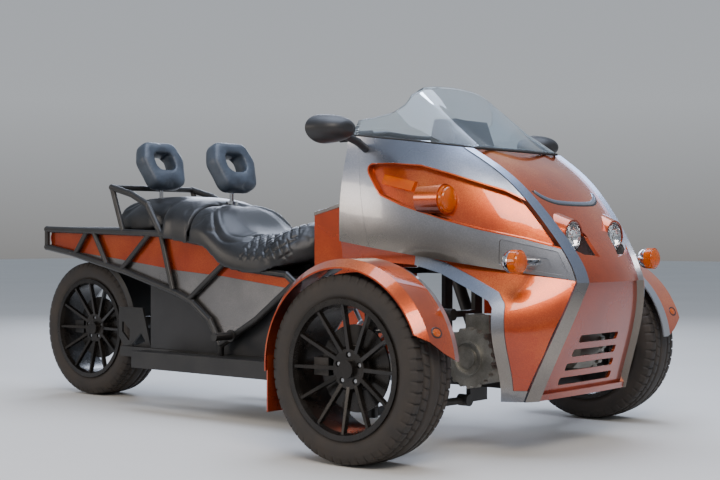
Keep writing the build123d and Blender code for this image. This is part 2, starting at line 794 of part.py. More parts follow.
# Nose and fairings. Sections are level; the left half is made and mirrored
ribbon_in = Vector(-math.cos(math.radians(ribbon_angle)), -math.sin(math.radians(ribbon_angle)))
ribbon_out_normal = Vector(math.sin(math.radians(ribbon_angle)), -math.cos(math.radians(ribbon_angle)))


def at_height(point, z):
    return (point.X, point.Y, z)


def ribbon_face(section, grow):
    """Closed level outline of one ribbon, made larger by grow on each side."""
    z, x, y, width = section[:4]
    outer = Vector(x, y) - ribbon_in * grow + ribbon_out_normal * grow
    inner = outer + ribbon_in * (width + 2 * grow)
    back = ribbon_out_normal * (ribbon_step + fairing_wall + 2 * grow)
    corners = [outer, inner, inner - back, outer - back]
    return make_face(Polyline(*[at_height(corner, z) for corner in corners], close=True))


def front_face(section, step, sag, depth0, depth1):
    """Closed level outline of the panel between the ribbons, from depth0 to depth1 behind its surface."""
    z, x, y, width = section[:4]
    corner = Vector(x, y) + ribbon_in * (width - edge_overlap) - ribbon_out_normal * step
    start = corner - ribbon_out_normal * depth0
    end = corner - ribbon_out_normal * depth1
    outer_mid = (0, corner.Y - sag + depth0, z)
    inner_mid = (0, corner.Y - sag + depth1, z)
    return make_face(
        [
            ThreePointArc((-start.X, start.Y, z), outer_mid, (start.X, start.Y, z)),
            Line((start.X, start.Y, z), (end.X, end.Y, z)),
            ThreePointArc((end.X, end.Y, z), inner_mid, (-end.X, end.Y, z)),
            Line((-end.X, end.Y, z), (-start.X, start.Y, z)),
        ]
    )


def side_face_section(section, step, depth0, depth1):
    """Closed level outline of the side wall, from depth0 to depth1 behind its surface."""
    outer = side_arc(section, step, depth0)
    inner = side_arc(section, step, depth1)
    return make_face(
        [
            ThreePointArc(*outer),
            Line(outer[2], inner[2]),
            ThreePointArc(inner[2], inner[1], inner[0]),
            Line(inner[0], outer[0]),
        ]
    )


def side_arc(section, step, depth):
    """Front, middle and rear point of the side wall's arc, at a depth behind its surface."""
    z, x, y, _, rear_x, bulge = section
    start = Vector(x, y) + ribbon_in * edge_overlap - ribbon_out_normal * step
    end = Vector(rear_x, fairing_rear_y)
    chord = end - start
    outward = Vector(chord.Y, -chord.X).normalized()
    middle = (start + end) * 0.5 + outward * bulge
    radius = chord.length ** 2 / (8 * bulge) + bulge / 2
    centre = middle - outward * radius
    shrunk = [centre + (point - centre) * ((radius - depth) / radius) for point in (middle, end)]
    edge = start - ribbon_out_normal * depth * side_edge_stretch
    return [at_height(point, z) for point in (edge, *shrunk)]


def upper_side(depth0, depth1):
    wall = loft([side_face_section(section, fairing_step, depth0, depth1) for section in upper_sections])
    return wall - ribbon(panel_gap)


def lower_side(depth0, depth1):
    wall = loft([side_face_section(section, lower_side_step, depth0, depth1) for section in lower_sections])
    return wall - ribbon(panel_gap)


def side_inside(depth):
    """The region inside the left upper fairing, from a depth behind its surface to the centre plane."""
    faces = []
    for section in upper_sections:
        start, middle, end = side_arc(section, fairing_step, depth)
        z = section[0]
        edges = [ThreePointArc(start, middle, end)]
        edges.append(Polyline(end, (0, end[1], z), (0, start[1], z), start))
        faces.append(make_face(edges))
    return loft(faces)


def hood_sag():
    """How far the hood's middle stands ahead of its corners, so that the nose is nose_overhang long."""
    section = upper_sections[0]
    corner = Vector(section[1], section[2]) + ribbon_in * (section[3] - edge_overlap) - ribbon_out_normal * ribbon_step
    return nose_overhang + corner.Y


def hood_layer(depth0, depth1):
    """The part of the hood's thickness, or of the room ahead of it, between two depths."""
    return loft([front_face(section, ribbon_step, hood_sag(), depth0, depth1) for section in upper_sections])


def lamp_pocket(grow):
    """Scoop ahead of one headlamp, from the lamp's round edge to a pointed outline on the hood."""
    reach = (headlamp_radius + headlamp_sleeve_wall + grow) / math.cos(math.pi / 8)
    rows = [[], []]
    for index, (x, z) in enumerate(lamp_pocket_outline):
        angle = math.radians(225 + 45 * index)
        out = (math.cos(angle) * grow, math.sin(angle) * grow)
        rows[0].append((headlamp_x + math.cos(angle) * reach, headlamp_y - 4, headlamp_z + math.sin(angle) * reach))
        rows[1].append((x + out[0], lamp_pocket_front_y, z + out[1]))
    return loft([make_face(Polyline(*row, close=True)) for row in rows], ruled=True)


def lamp_pod():
    """Cone that carries the lamp's round edge back into the hood, leaning up and outwards."""
    front = Plane(origin=(headlamp_x, headlamp_y - 4, headlamp_z), x_dir=(1, 0, 0), z_dir=(0, 1, 0))
    x, y, z, radius = lamp_pod_back
    back = Plane(origin=(x, y, z), x_dir=(1, 0, 0), z_dir=(0, 1, 0))
    return loft([front * Circle(headlamp_radius + headlamp_sleeve_wall), back * Circle(radius)])


def nose_panel():
    """Hood between the ribbons, with a shelf at its foot and a scoop, pod and sleeve for each headlamp."""
    hood = hood_layer(0, fairing_wall)
    shelf = hood_layer(hood_bite, nose_shelf_depth) & block(-400, 400, -600, 0, kink_z, kink_z + nose_shelf_wall)
    radius = headlamp_radius + running_gap
    sleeve = Cylinder(radius + headlamp_sleeve_wall, headlamp_length, align=(Align.CENTER, Align.CENTER, Align.MAX))
    bore = Cylinder(radius, headlamp_length + 200)
    place = Pos(headlamp_x, headlamp_y - 4, headlamp_z) * Rot(90, 0, 0)
    liner = lamp_pocket(lamp_pocket_wall) & hood_layer(hood_bite, 90)
    liner += lamp_pod() - hood_layer(fairing_wall - hood_bite, 300)
    liner += place * sleeve
    hood += liner + mirror(liner, about=Plane.YZ)
    room = lamp_pocket(0) + place * bore
    hood = hood - room - mirror(room, about=Plane.YZ) + shelf
    return (hood & below(cowl_line, 0)) - ribbons_space()


def ribbon(grow):
    """Strip that frames the nose on the left, or the room it takes with a gap round it."""
    lower = loft([ribbon_face(section, grow) for section in lower_sections[:4]])
    upper = loft([ribbon_face(section, grow) for section in upper_sections])
    return lower + upper


def ribbons_space():
    return both_sides(ribbon(panel_gap))


def lower_nose_panel():
    """Recessed panel between the ribbons below the hood, with the grille slots and the foot lip."""
    step, sag, rows = lower_front_step, lower_front_sag, lower_sections[:4]
    panel = loft([front_face(section, step, sag, 0, fairing_wall) for section in rows])
    proud = nose_lip_proud
    lip = [front_face(section, step - proud, sag, 0, fairing_wall + proud) for section in rows]
    panel += loft(lip) & block(-500, 500, -600, 0, nose_low_z, nose_low_z + nose_lip_height)
    panel &= block(-500, 500, -700, 0, nose_low_z, kink_z - panel_gap)
    for slot in range(grille_slots):
        width = 2 * (grille_top_half_width + grille_spread * slot)
        face = Plane(origin=(0, -700, grille_top_z - grille_pitch * slot), x_dir=(1, 0, 0), z_dir=(0, 1, 0))
        panel -= extrude(face * RectangleRounded(width, grille_slot_height, grille_slot_corner), amount=500)
    return panel - ribbons_space()


def side_fairing():
    """Side wall with its teardrop opening, lamp recess and the seam of its rear panel."""
    wall = upper_side(0, fairing_wall) & above(sill_line, 0) & below(cowl_line, 0)
    wall -= side_prism(inset_outline, 100, 600, inset_corner)
    plate = side_prism(lamp_plate_outline, 100, 600, lamp_plate_corner)
    slot = side_prism(lamp_slot_outline, 100, 600, lamp_slot_corner)
    wall -= upper_side(-20, lamp_plate_depth) & plate
    wall -= upper_side(-20, lamp_slot_depth) & slot
    (low_y, low_z), (high_y, high_z) = seam_line
    seam = [(low_y, low_z), (high_y, high_z), (high_y + seam_gap, high_z), (low_y + seam_gap, low_z)]
    return wall - side_prism(seam, 100, 600)


def inset_panel():
    """Recessed pan that fills the teardrop opening, with the side lamp's housing on it."""
    opening = side_prism(inset_outline, 100, 600, inset_corner, panel_gap)
    inside = side_prism(inset_outline, 90, 610, inset_corner, panel_gap + inset_wall)
    floor = upper_side(inset_depth, inset_depth + inset_wall) & opening
    pan = floor + (upper_side(0, inset_depth + inset_wall / 2) & (opening - inside))
    radius = side_lamp_radius + side_lamp_housing_wall
    barrel = Cylinder(radius, side_lamp_housing, align=(Align.CENTER, Align.CENTER, Align.MAX))
    housing = side_lamp_place() * Rot(90, 0, 0) * barrel
    bed = side_prism(inset_outline, 100, 600, inset_corner, panel_gap + inset_wall / 2)
    return pan + ((housing & bed) - side_inside(inset_depth + inset_wall / 2))


def side_lamp_place():
    """Where the side lamp's lens meets its housing, beside the inset's floor."""
    return Pos(side_lamp_floor_x() + side_lamp_reach, side_lamp_y, side_lamp_z)


def side_lamp_floor_x():
    """Where the inset's floor is at the side lamp."""
    section = upper_sections[3]
    chord = Vector(section[4], fairing_rear_y) - Vector(section[1], section[2])
    share = (side_lamp_y - section[2]) / chord.Y
    surface = section[1] + chord.X * share + 4 * section[5] * share * (1 - share)
    return surface - inset_depth


def lower_side_panel():
    """Panel under the fairing's sill inside its trim, and the leg panel behind the wheel."""
    inside = side_prism(wing_outline, 100, 600, 0.0, wing_trim_width + panel_gap)
    return lower_side(0, fairing_wall) & inside & below(sill_line, panel_gap) & wing_front_region()


def wing_front_region():
    """The wedge proper, ahead of the narrow strip under the sill."""
    return block(90, 610, -700, wing_outline[7][0] - wing_trim_width, 0, 800)


def leg_panel():
    """Painted strip under the sill behind the wedge, with the splash panel behind the front wheel."""
    strip_front = wing_outline[7][0] + panel_gap
    edge = block(0, 600, strip_front, 600, 0, 800) & above(wing_outline[7:9], 0) & below(sill_line, panel_gap)
    strip = lower_side(0, strip_depth) & edge
    outline = [
        (leg_panel_front_y, wing_outline[7][1] + 12),
        (leg_panel_front_y, leg_panel_low_z + 40),
        (leg_panel_front_y + 40, leg_panel_low_z),
        (fairing_rear_y, leg_panel_low_z),
        (fairing_rear_y, wing_outline[8][1]),
    ]
    return strip + side_prism(outline, leg_panel_x, leg_panel_x + fairing_wall)


def wing_trim():
    """Raised frame round the lower side panel."""
    inside = side_prism(wing_outline, 90, 610, 0.0, wing_trim_width) & wing_front_region()
    frame = side_prism(wing_outline, 100, 600) - inside
    frame &= block(90, 610, -700, wing_outline[7][0], 0, 800)
    return lower_side(-wing_trim_proud, wing_trim_depth) & frame & below(sill_line, panel_gap)


def windshield():
    """Bent screen between four level sections, trimmed to its top edge and to the cowl."""
    outer = []
    inner = []
    for z, front_y, bend_x, bend_y, shoulder_x, shoulder_y, rear_x, rear_y in screen_sections:
        wall = screen_wall
        half = [(shoulder_x, shoulder_y), (rear_x, rear_y)]
        half_inner = [(shoulder_x - wall, shoulder_y + wall), (rear_x - wall, rear_y)]
        for rows, points, y_front, bend in (
            (outer, half, front_y, (bend_x, bend_y)),
            (inner, half_inner, front_y + wall * 1.6, (bend_x - wall * 0.4, bend_y + wall * 1.5)),
        ):
            ring = [(-rx, ry) for rx, ry in reversed(points)] + [(-bend[0], bend[1])]
            edges = [Polyline(*[(px, py, z) for px, py in ring])]
            edges.append(ThreePointArc((-bend[0], bend[1], z), (0, y_front, z), (bend[0], bend[1], z)))
            edges.append(Polyline(*[(px, py, z) for px, py in [bend, *points]]))
            edges.append(Line((points[-1][0], points[-1][1], z), (-points[-1][0], points[-1][1], z)))
            rows.append(make_face(edges))
    shell = loft(outer, ruled=True) - loft(inner, ruled=True)
    top = [(x, z) for x, z in screen_top_outline]
    outline = [(-x, z) for x, z in reversed(top[1:])] + top + [(430.0, 900.0), (-430.0, 900.0)]
    shell &= front_prism(outline, -400, screen_rear_y)
    return shell & above(cowl_line, panel_gap)


def cabin_region(depth):
    """Everything inside the upper fairing and hood, from depth behind their surface."""
    sag = hood_sag()
    faces = []
    for section in upper_sections:
        z, x, y, width = section[:4]
        corner = Vector(x, y) + ribbon_in * (width - edge_overlap) - ribbon_out_normal * ribbon_step
        nose = corner - ribbon_out_normal * depth
        front, middle, rear = side_arc(section, fairing_step, depth)
        left = [ThreePointArc(front, middle, rear), Line((nose.X, nose.Y, z), front)]
        edges = left + [mirror(edge, about=Plane.YZ) for edge in left]
        edges.append(ThreePointArc((-nose.X, nose.Y, z), (0, corner.Y - sag + depth, z), (nose.X, nose.Y, z)))
        edges.append(Line(rear, (-rear[0], rear[1], z)))
        faces.append(make_face(edges))
    return loft(faces) - both_sides(ribbon(panel_gap))


def instrument_panel(cabin, nose):
    """Cowl deck under the windshield with the instrument binnacle on it."""
    line = cowl_line
    slab = below(line, 0) & above(line, -deck_wall)
    deck = cabin & slab & block(-500, 500, -300, deck_rear_y, 800, 1100)
    deck = deck - nose - Pos(0, panel_gap, 0) * nose - Pos(0, 0, -panel_gap) * nose
    deck = deck.solids().sort_by(SortBy.VOLUME)[-1]
    half = binnacle_half_width
    outline = [
        (binnacle_front_y, 985.0),
        (binnacle_front_y + 34, binnacle_top_z),
        (binnacle_rear_y - 20, binnacle_top_z),
        (binnacle_rear_y, 1000.0),
    ]
    pod = side_prism(outline, -half, half)
    return deck + pod


def headlamp_bowl():
    """Bowl of one headlamp, facing the nose, with a closed back."""
    outer = Cylinder(headlamp_radius, headlamp_length, align=(Align.CENTER, Align.CENTER, Align.MAX))
    inner = Cylinder(headlamp_radius - headlamp_wall, headlamp_length, align=(Align.CENTER, Align.CENTER, Align.MAX))
    return Pos(headlamp_x, headlamp_y, headlamp_z) * Rot(90, 0, 0) * (outer - Pos(0, 0, headlamp_wall * 2) * inner)


def headlamp_lens():
    lens = Cylinder(
        headlamp_radius - headlamp_wall - panel_gap, headlamp_lens_wall, align=(Align.CENTER, Align.CENTER, Align.MAX)
    )
    return Pos(headlamp_x, headlamp_y, headlamp_z) * Rot(90, 0, 0) * lens


def turn_lamp_bowl_shape():
    """Bowl behind the front turn lens, with the stalk that comes out of the fairing's recess."""
    bowl = Sphere(turn_lamp_radius) & block(-100, 100, 0, turn_lamp_bowl, -100, 100)
    stalk = rod((0, turn_lamp_bowl * 0.4, 0), (-turn_stalk_length, 20, -4), turn_stalk_radius)
    lamp = Pos(turn_lamp_x, turn_lamp_y, turn_lamp_z) * (bowl + stalk)
    return (lamp - side_inside(lamp_slot_depth - panel_gap)).solids().sort_by(SortBy.VOLUME)[-1]


def turn_lamp_lens_shape():
    lens = Cylinder(turn_lamp_radius, turn_lamp_lens, align=(Align.CENTER, Align.CENTER, Align.MIN))
    return Pos(turn_lamp_x, turn_lamp_y - panel_gap, turn_lamp_z) * Rot(90, 0, 0) * lens


def amber_lenses():
    """Front turn lens, round side lamp and long reflector of the left side."""
    disc = Cylinder(side_lamp_radius, side_lamp_lens, align=(Align.CENTER, Align.CENTER, Align.MIN))
    lamp = Pos(0, -panel_gap, 0) * side_lamp_place() * Rot(90, 0, 0) * disc - side_inside(inset_depth - seam_gap)
    bar = Box(200, reflector_length, reflector_height)
    reflector = Pos(380, reflector_y, reflector_z) * Rot(reflector_tilt, 0, 0) * bar
    reflector = reflector & upper_side(inset_depth - reflector_depth, inset_depth - panel_gap)
    return group([turn_lamp_lens_shape(), lamp, reflector])


def mirror_housing():
    """Rounded pod with a flat rear face, and the stalk from the fairing's shoulder."""
    rows = [mirror_outline(*row) for row in mirror_sections]
    pod = Pos(mirror_x, mirror_y, mirror_z) * loft(rows)
    stalk = tube_run([(mirror_x - 40, mirror_y - 4, mirror_z - 8), (450, 214, 990), mirror_foot], mirror_stalk_radius)
    return pod + stalk - side_inside(-panel_gap)


def mirror_outline(y, half_width, half_height):
    return Plane(origin=(0, y, 0), x_dir=(1, 0, 0), z_dir=(0, 1, 0)) * Ellipse(half_width, half_height)


def mirror_glass():
    face_y, half_width, half_height = mirror_sections[-1]
    glass = mirror_outline(face_y + panel_gap, half_width - 7, half_height - 7)
    return Pos(mirror_x, mirror_y, mirror_z) * extrude(glass, amount=mirror_glass_wall)


# Frame and body
def at_side(points):
    return [(frame_x, y, z) for y, z in points]


def tube_frame():
    """Welded side frames with their struts, the hoop over the tail and the cross tubes."""
    radius = frame_tube_radius
    pieces = [
        tube_run(at_side(rail_low), radius),
        tube_run(at_side(front_diagonal), radius),
        tube_run(at_side(seat_rail), radius),
        tube_run(at_side(rail_top), radius),
        tube_run(at_side(hoop_leg), radius),
        tube_run(at_side([hoop_leg[-1], hoop_strut_foot]), cross_tube_radius),
    ]
    pieces += [tube_run(at_side(strut), cross_tube_radius) for strut in frame_struts]
    foot_y, foot_z = rail_low[-1]
    pieces.append(rod((frame_x, foot_y, floor_rail_z), (frame_x, foot_y, foot_z), radius))
    pieces.append(rod((rail_outer_x + panel_gap, foot_y, floor_rail_z), (frame_x, foot_y, floor_rail_z), radius))
    pieces += [Pos(frame_x, foot_y, floor_rail_z) * Sphere(radius + weld_bulge)]
    corners = {rail_low[0], rail_low[-1], rail_top[0], rail_top[1], front_diagonal[-1], hoop_leg[-1], (1059.0, 584.0)}
    pieces += [Pos(frame_x, y, z) * Sphere(radius + weld_bulge) for y, z in sorted(corners)]
    side = union(pieces)
    frame = side + mirror(side, about=Plane.YZ)
    for y, z in cross_tubes:
        frame += rod((-frame_x, y, z), (frame_x, y, z), cross_tube_radius)
    return frame


def main_frame(cabin):
    """Floor rails, cross members, suspension towers, steering post, dash member and pivot plates."""
    half = floor_rail_size / 2
    left = [block(rail_inner_x, rail_outer_x, -500, floor_rail_rear_y, rail_low_z, rail_high_z)]
    for side in (-1, 1):
        y = side * tower_y
        low = tower_wall / 2
        left.append(block(rail_inner_x, rail_outer_x, y - low, y + low, rail_high_z, tower_top_z))
        inner_face = upper_pivot_x - pivot_bush_radius - panel_gap
        left.append(block(rail_inner_x, inner_face, y - low, y + low, upper_pivot_z - 10, upper_pivot_z + 10))
        y = side * lower_pivot_spread
        inner_face = lower_pivot_x - pivot_bush_radius - panel_gap
        left.append(block(rail_inner_x, inner_face, y - low, y + low, lower_pivot_z - 8, rail_low_z + 1))
    left.append(block(rail_inner_x, rail_outer_x, -tower_y, tower_y, tower_top_z - half, tower_top_z))
    top_x, top_y, top_z = damper_top
    left.append(block(rail_inner_x, top_x + 16, top_y - 16, top_y + 16, top_z + panel_gap, top_z + panel_gap + 20))
    left.append(block(rail_inner_x, rail_outer_x, tower_y, top_y + 16, top_z + panel_gap, tower_top_z))
    left.append(pivot_plate())
    side = union(left)
    frame = side + mirror(side, about=Plane.YZ)
    for y in floor_cross_members:
        frame += block(-rail_inner_x - 1, rail_inner_x + 1, y - half, y + half, rail_low_z, rail_high_z)
    reach = steering_arm_reach
    frame += block(-rail_inner_x - 1, rail_inner_x + 1, reach - 20, reach + 20, rail_low_z, rail_high_z)
    frame += block(-rack_sleeve_half_length, rack_sleeve_half_length, reach - 20, reach + 20, rail_high_z - 1, rack_z)
    sleeve_end = (rack_sleeve_half_length, reach, rack_z)
    frame += rod((-sleeve_end[0], *sleeve_end[1:]), sleeve_end, rack_radius + rack_sleeve_wall)
    frame -= rod((-400, reach, rack_z), (400, reach, rack_z), rack_radius + running_gap)
    along = Vector(0, math.sin(lean), math.cos(lean))
    foot = Vector(0, column_foot_y, column_foot_z)
    post_length = (column_foot_z - rail_high_z + 10) / math.cos(lean)
    frame += rod(foot - along * post_length, foot - along * 4, steering_post_radius)
    sleeve = Cylinder(
        column_radius + column_sleeve_wall, column_sleeve_length + 20, align=(Align.CENTER, Align.CENTER, Align.MIN)
    )
    bore = Cylinder(column_radius + pivot_gap, 200, align=(Align.CENTER, Align.CENTER, Align.MIN))
    frame += Plane(origin=foot - along * 20, z_dir=along) * sleeve
    frame += cabin & block(-500, 500, dash_y - 13, dash_y + 13, dash_z - 13, dash_z + 13)
    frame -= Plane(origin=foot - along * 2, z_dir=along) * bore
    ahead = [
        front_face(section, lower_front_step, lower_front_sag, -300, fairing_wall + panel_gap)
        for section in lower_sections[:4]
    ]
    return frame - loft(ahead)


def pivot_plate():
    """Plate with triangular windows that carries the swing arm's pivot, inside the left floor rail."""
    x0 = rail_inner_x - pivot_plate_wall
    front_y = floor_rail_rear_y - 140
    outline = [
        (front_y, rail_low_z),
        (floor_rail_rear_y, rail_low_z),
        (pivot_plate_rear_y, pivot_plate_low_z),
        (pivot_plate_rear_y, pivot_plate_top_z),
        (front_y + 50, pivot_plate_top_z),
        (front_y, rail_high_z),
    ]
    plate = side_prism(outline, x0, rail_inner_x)
    for window in pivot_plate_windows:
        plate -= side_prism(window, x0 - 1, rail_inner_x + 1, 6.0)
    return plate


def tail_panel(upper):
    """Skin inside one side frame, the part above or below the colour split."""
    outline = [*rail_top, *seat_rail[-2::-1], *front_diagonal[-2::-1], *rail_low[-2::-1]]
    panel = side_prism(outline, side_panel_x, side_panel_x + side_panel_wall)
    for y, z in cross_tubes:
        panel -= rod((0, y, z), (frame_x, y, z), cross_tube_radius + panel_gap)
    panel &= block(0, 600, 0, cross_tubes[0][0] - cross_tube_radius - panel_gap, 0, 900)
    return panel & (above(panel_split, panel_gap) if upper else below(panel_split, panel_gap))


def battery_box():
    """Plain battery block on the floor rails, with the saddle's pan on top."""
    half = battery_half_width
    box = block(-half, half, battery_front_y, battery_rear_y, rail_high_z + panel_gap, battery_top_z)
    outline = [(row[0], row[3] - seat_gap) for row in saddle_sections if row[0] > battery_front_y]
    outline += [(outline[-1][0], battery_top_z - 5), (outline[0][0], battery_top_z - 5)]
    return box + side_prism(outline, -seat_pan_half_width, seat_pan_half_width)


def tail_box():
    """Open tray between the tail panels, closed by the pillion seat."""
    half = side_panel_x - panel_gap
    outer = block(-half, half, tail_front_y, tail_rear_y, tail_low_z, tail_top_z)
    wall = tail_wall
    inner = block(
        wall - half, half - wall, tail_front_y + wall, pillion_sections[-1][0] - wall, tail_low_z + wall, tail_top_z + 1
    )
    return outer - inner


def running_boards():
    """Sill beam with its outriggers and floor plate, and the foot peg of the left side."""
    half = sill_width / 2
    board = block(sill_x - half, sill_x + half, sill_front_y, sill_rear_y, sill_low_z, sill_high_z)
    board += block(rail_outer_x + panel_gap, sill_x, sill_front_y, floor_plate_rear_y, rail_high_z - 10, rail_high_z)
    for y in outrigger_places:
        board += rod((rail_outer_x + panel_gap, y, floor_rail_z), (sill_x, y, floor_rail_z), outrigger_radius)
    start = frame_x + frame_tube_radius + panel_gap
    peg = rod((start, peg_y, peg_z), (start + peg_length, peg_y, peg_z), peg_radius)
    peg += rod((start, peg_y, peg_z), (start + 8, peg_y, peg_z), peg_radius + 8)
    return group([board, peg])


def swing_arm():
    """Single-sided arm left of the rear wheel, with its hub carrier, caliper and pivot tube."""
    hub = mirror(hub_carrier() + brake_caliper(), about=Plane.YZ)
    beam_out = swing_beam_x + swing_beam_width / 2
    hub += axle_drum(carrier_radius, -carrier_inner_end - 14, beam_out)
    arm = Pos(0, wheelbase, tyre_radius) * hub
    half = swing_beam_height / 2
    outline = [
        (swing_pivot_y, swing_pivot_z - half),
        (wheelbase, tyre_radius - half),
        (wheelbase, tyre_radius + half),
        (swing_pivot_y, swing_pivot_z + half),
    ]
    arm += side_prism(outline, swing_beam_x - swing_beam_width / 2, beam_out)
    tube_end = rail_inner_x - pivot_plate_wall - panel_gap
    arm += rod((-tube_end, swing_pivot_y, swing_pivot_z), (tube_end, swing_pivot_y, swing_pivot_z), swing_tube_radius)
    return arm


def rear_fender():
    """Arch close over the front of the rear tyre, on a bracket from the swing arm's tube."""
    base = tyre_radius + hugger_gap
    half = hugger_half_width
    low = [(-half, base - 16), (8 - half, base), (half - 8, base), (half, base - 16)]
    outline = low + [(x, r + hugger_wall) for x, r in reversed(low)]
    face = make_face(Polyline(*[(x, r, 0) for x, r in outline], close=True))
    arc = hugger_front_angle - hugger_rear_angle
    arch = revolve(Rot(hugger_rear_angle, 0, 0) * face, axis=Axis.X, revolution_arc=arc)
    pivot = (swing_pivot_y - wheelbase, swing_pivot_z - tyre_radius)
    bracket = block(-30, 30, pivot[0], -base - 2, pivot[1] - 12, pivot[1] + 12)
    bracket -= Pos(0, *pivot) * axle_drum(swing_tube_radius + panel_gap, -40, 40)
    return Pos(0, wheelbase, tyre_radius) * (arch + bracket)


def dampers():
    """Both front dampers and the one between the rear cross tube and the swing arm."""
    foot, top = Vector(*damper_foot()), Vector(*damper_top)
    front = damper(foot, top + (top - foot) * 0.04) & block(0, 700, -300, 300, 0, damper_top[2])
    front -= Pos(0, 0, panel_gap) * wishbones()
    rear_foot = (0, swing_pivot_y, swing_pivot_z + swing_tube_radius + panel_gap)
    rear = damper(rear_foot, (0, cross_tubes[2][0], cross_tubes[2][1] - cross_tube_radius - 1))
    return group([front, mirror(front, about=Plane.YZ), rear])


def handlebar():
    """Steering column, stem and bent bar."""
    top = (0, column_top_y, column_top_z)
    column = rod((0, column_foot_y, column_foot_z), top, column_radius) + Pos(*top) * Sphere(column_radius + 6)
    left = bar_points()
    right = [(-x, y, z) for x, y, z in reversed(left)]
    line = FilletPolyline(*right, *left, radius=bar_bend)
    stem = rod(top, (0, left[0][1], left[0][2]), column_radius)
    return column + stem + sweep(Plane(line @ 0, z_dir=line % 0) * Circle(bar_radius), line)


def bar_points():
    """Bends of the left half of the bar, up to its end."""
    high = column_top_z + bar_rise
    return [
        (46, column_top_y - 12, high - 6),
        (bar_half_span * 0.55, column_top_y - 6, high),
        (bar_half_span, column_top_y + bar_pull_back, high - 16),
    ]


def grip():
    end = Vector(*bar_points()[-1])
    along = (end - Vector(*bar_points()[-2])).normalized()
    start = end - along * grip_length
    return rod(start, end, grip_radius) - rod(start - along, end + along, bar_radius + pivot_gap)


def backrest_posts(pads, seats):
    """Chrome posts between the seat's crown and the pads, with their flanges."""
    posts = []
    for y, flange_z, pad_z in backrests:
        post = rod((0, y, flange_z - 24), (0, y, pad_z - 76), post_radius)
        post += rod((0, y, flange_z - 24), (0, y, flange_z + post_flange_height), post_flange_radius)
        posts.append(post)
    return group(posts) - Pos(0, 0, seat_gap) * seats - Pos(0, 0, -seat_gap) * pads


def tail_lamp():
    """Round tail lamp on a plate behind the two rear cross tubes."""
    face_y = rail_top[0][0] + cross_tube_radius + panel_gap
    half = tail_lamp_radius + 4
    plate = block(tail_lamp_x - half, tail_lamp_x + half, face_y, face_y + 6, tail_lamp_z - half, tail_lamp_z + half)
    return plate + rod((tail_lamp_x, face_y, tail_lamp_z), (tail_lamp_x, face_y + tail_lamp_depth, tail_lamp_z), tail_lamp_radius)


def save(shape, node):
    """Write one node, moved so that the origin is the vehicle's bottom centre."""
    export_step(Pos(0, origin_shift, 0) * shape, f"parts/{node}.step")


def seat(sections):
    """A closed crowned seat, lofted between upright sections."""
    faces = []
    for y, half, skirt, low, shoulder, crown in sections:
        out = half - seat_skirt_inset
        side = [(half, shoulder), (out, skirt), (out - seat_skirt_wall, skirt), (out - seat_skirt_wall, low)]
        corners = [(-x, z) for x, z in side] + side[::-1]
        edges = [Polyline(*[(x, y, z) for x, z in corners])]
        edges.append(ThreePointArc((half, y, shoulder), (0, y, crown), (-half, y, shoulder)))
        faces.append(make_face(edges))
    return loft(faces, ruled=True)


def console_side():
    """Painted sides of the console, open below."""
    wall = console_wall
    points = [(y, shoulder) for y, shoulder, _ in console_sections]
    front_y, rear_y = points[0][0], points[-1][0] - panel_gap
    points[-1] = (rear_y, points[-1][1])
    half = console_half_width
    shell = side_prism([*points, (rear_y, console_low_z), (front_y, console_low_z)], -half, half)
    inner = [(front_y + wall, points[0][1] - wall), *[(y, z - wall) for y, z in points[1:-1]]]
    inner += [(rear_y - wall, points[-1][1] - wall), (rear_y - wall, console_low_z - 1)]
    inner.append((front_y + wall, console_low_z - 1))
    return shell - side_prism(inner, wall - half, half - wall)


def console_cover():
    faces = []
    for y, shoulder, crown in console_sections:
        low = shoulder + panel_gap
        half = console_half_width + 3
        end_y = y - panel_gap if y == console_sections[-1][0] else y
        corners = [(half, low + 12), (half, low), (-half, low), (-half, low + 12)]
        edges = [Polyline(*[(x, end_y, z) for x, z in corners])]
        edges.append(ThreePointArc((-half, end_y, low + 12), (0, end_y, crown), (half, end_y, low + 12)))
        faces.append(make_face(edges))
    return loft(faces, ruled=True)


def backrest_pad(y, pad_z):
    """Rounded trapezoid pad with a hole, leaning back."""
    top, foot, high = pad_width / 2, pad_foot_width / 2, pad_height / 2
    side = [(foot, -high), (top, high * 0.2), (top * 0.72, high)]
    outline = make_face(Polyline(*side, *[(-x, z) for x, z in reversed(side)], close=True))
    outline = fillet(outline.vertices(), pad_corner)
    hole = RectangleRounded(pad_hole_width, pad_hole_height, pad_hole_corner)
    pad = extrude(outline, amount=pad_thickness / 2, both=True)
    pad = fillet(pad.edges().filter_by(Axis.Z, reverse=True), pad_edge)
    pad -= Pos(0, 12, 0) * extrude(hole, amount=pad_thickness, both=True)
    return Pos(0, y, pad_z) * Rot(90 - pad_lean, 0, 0) * pad


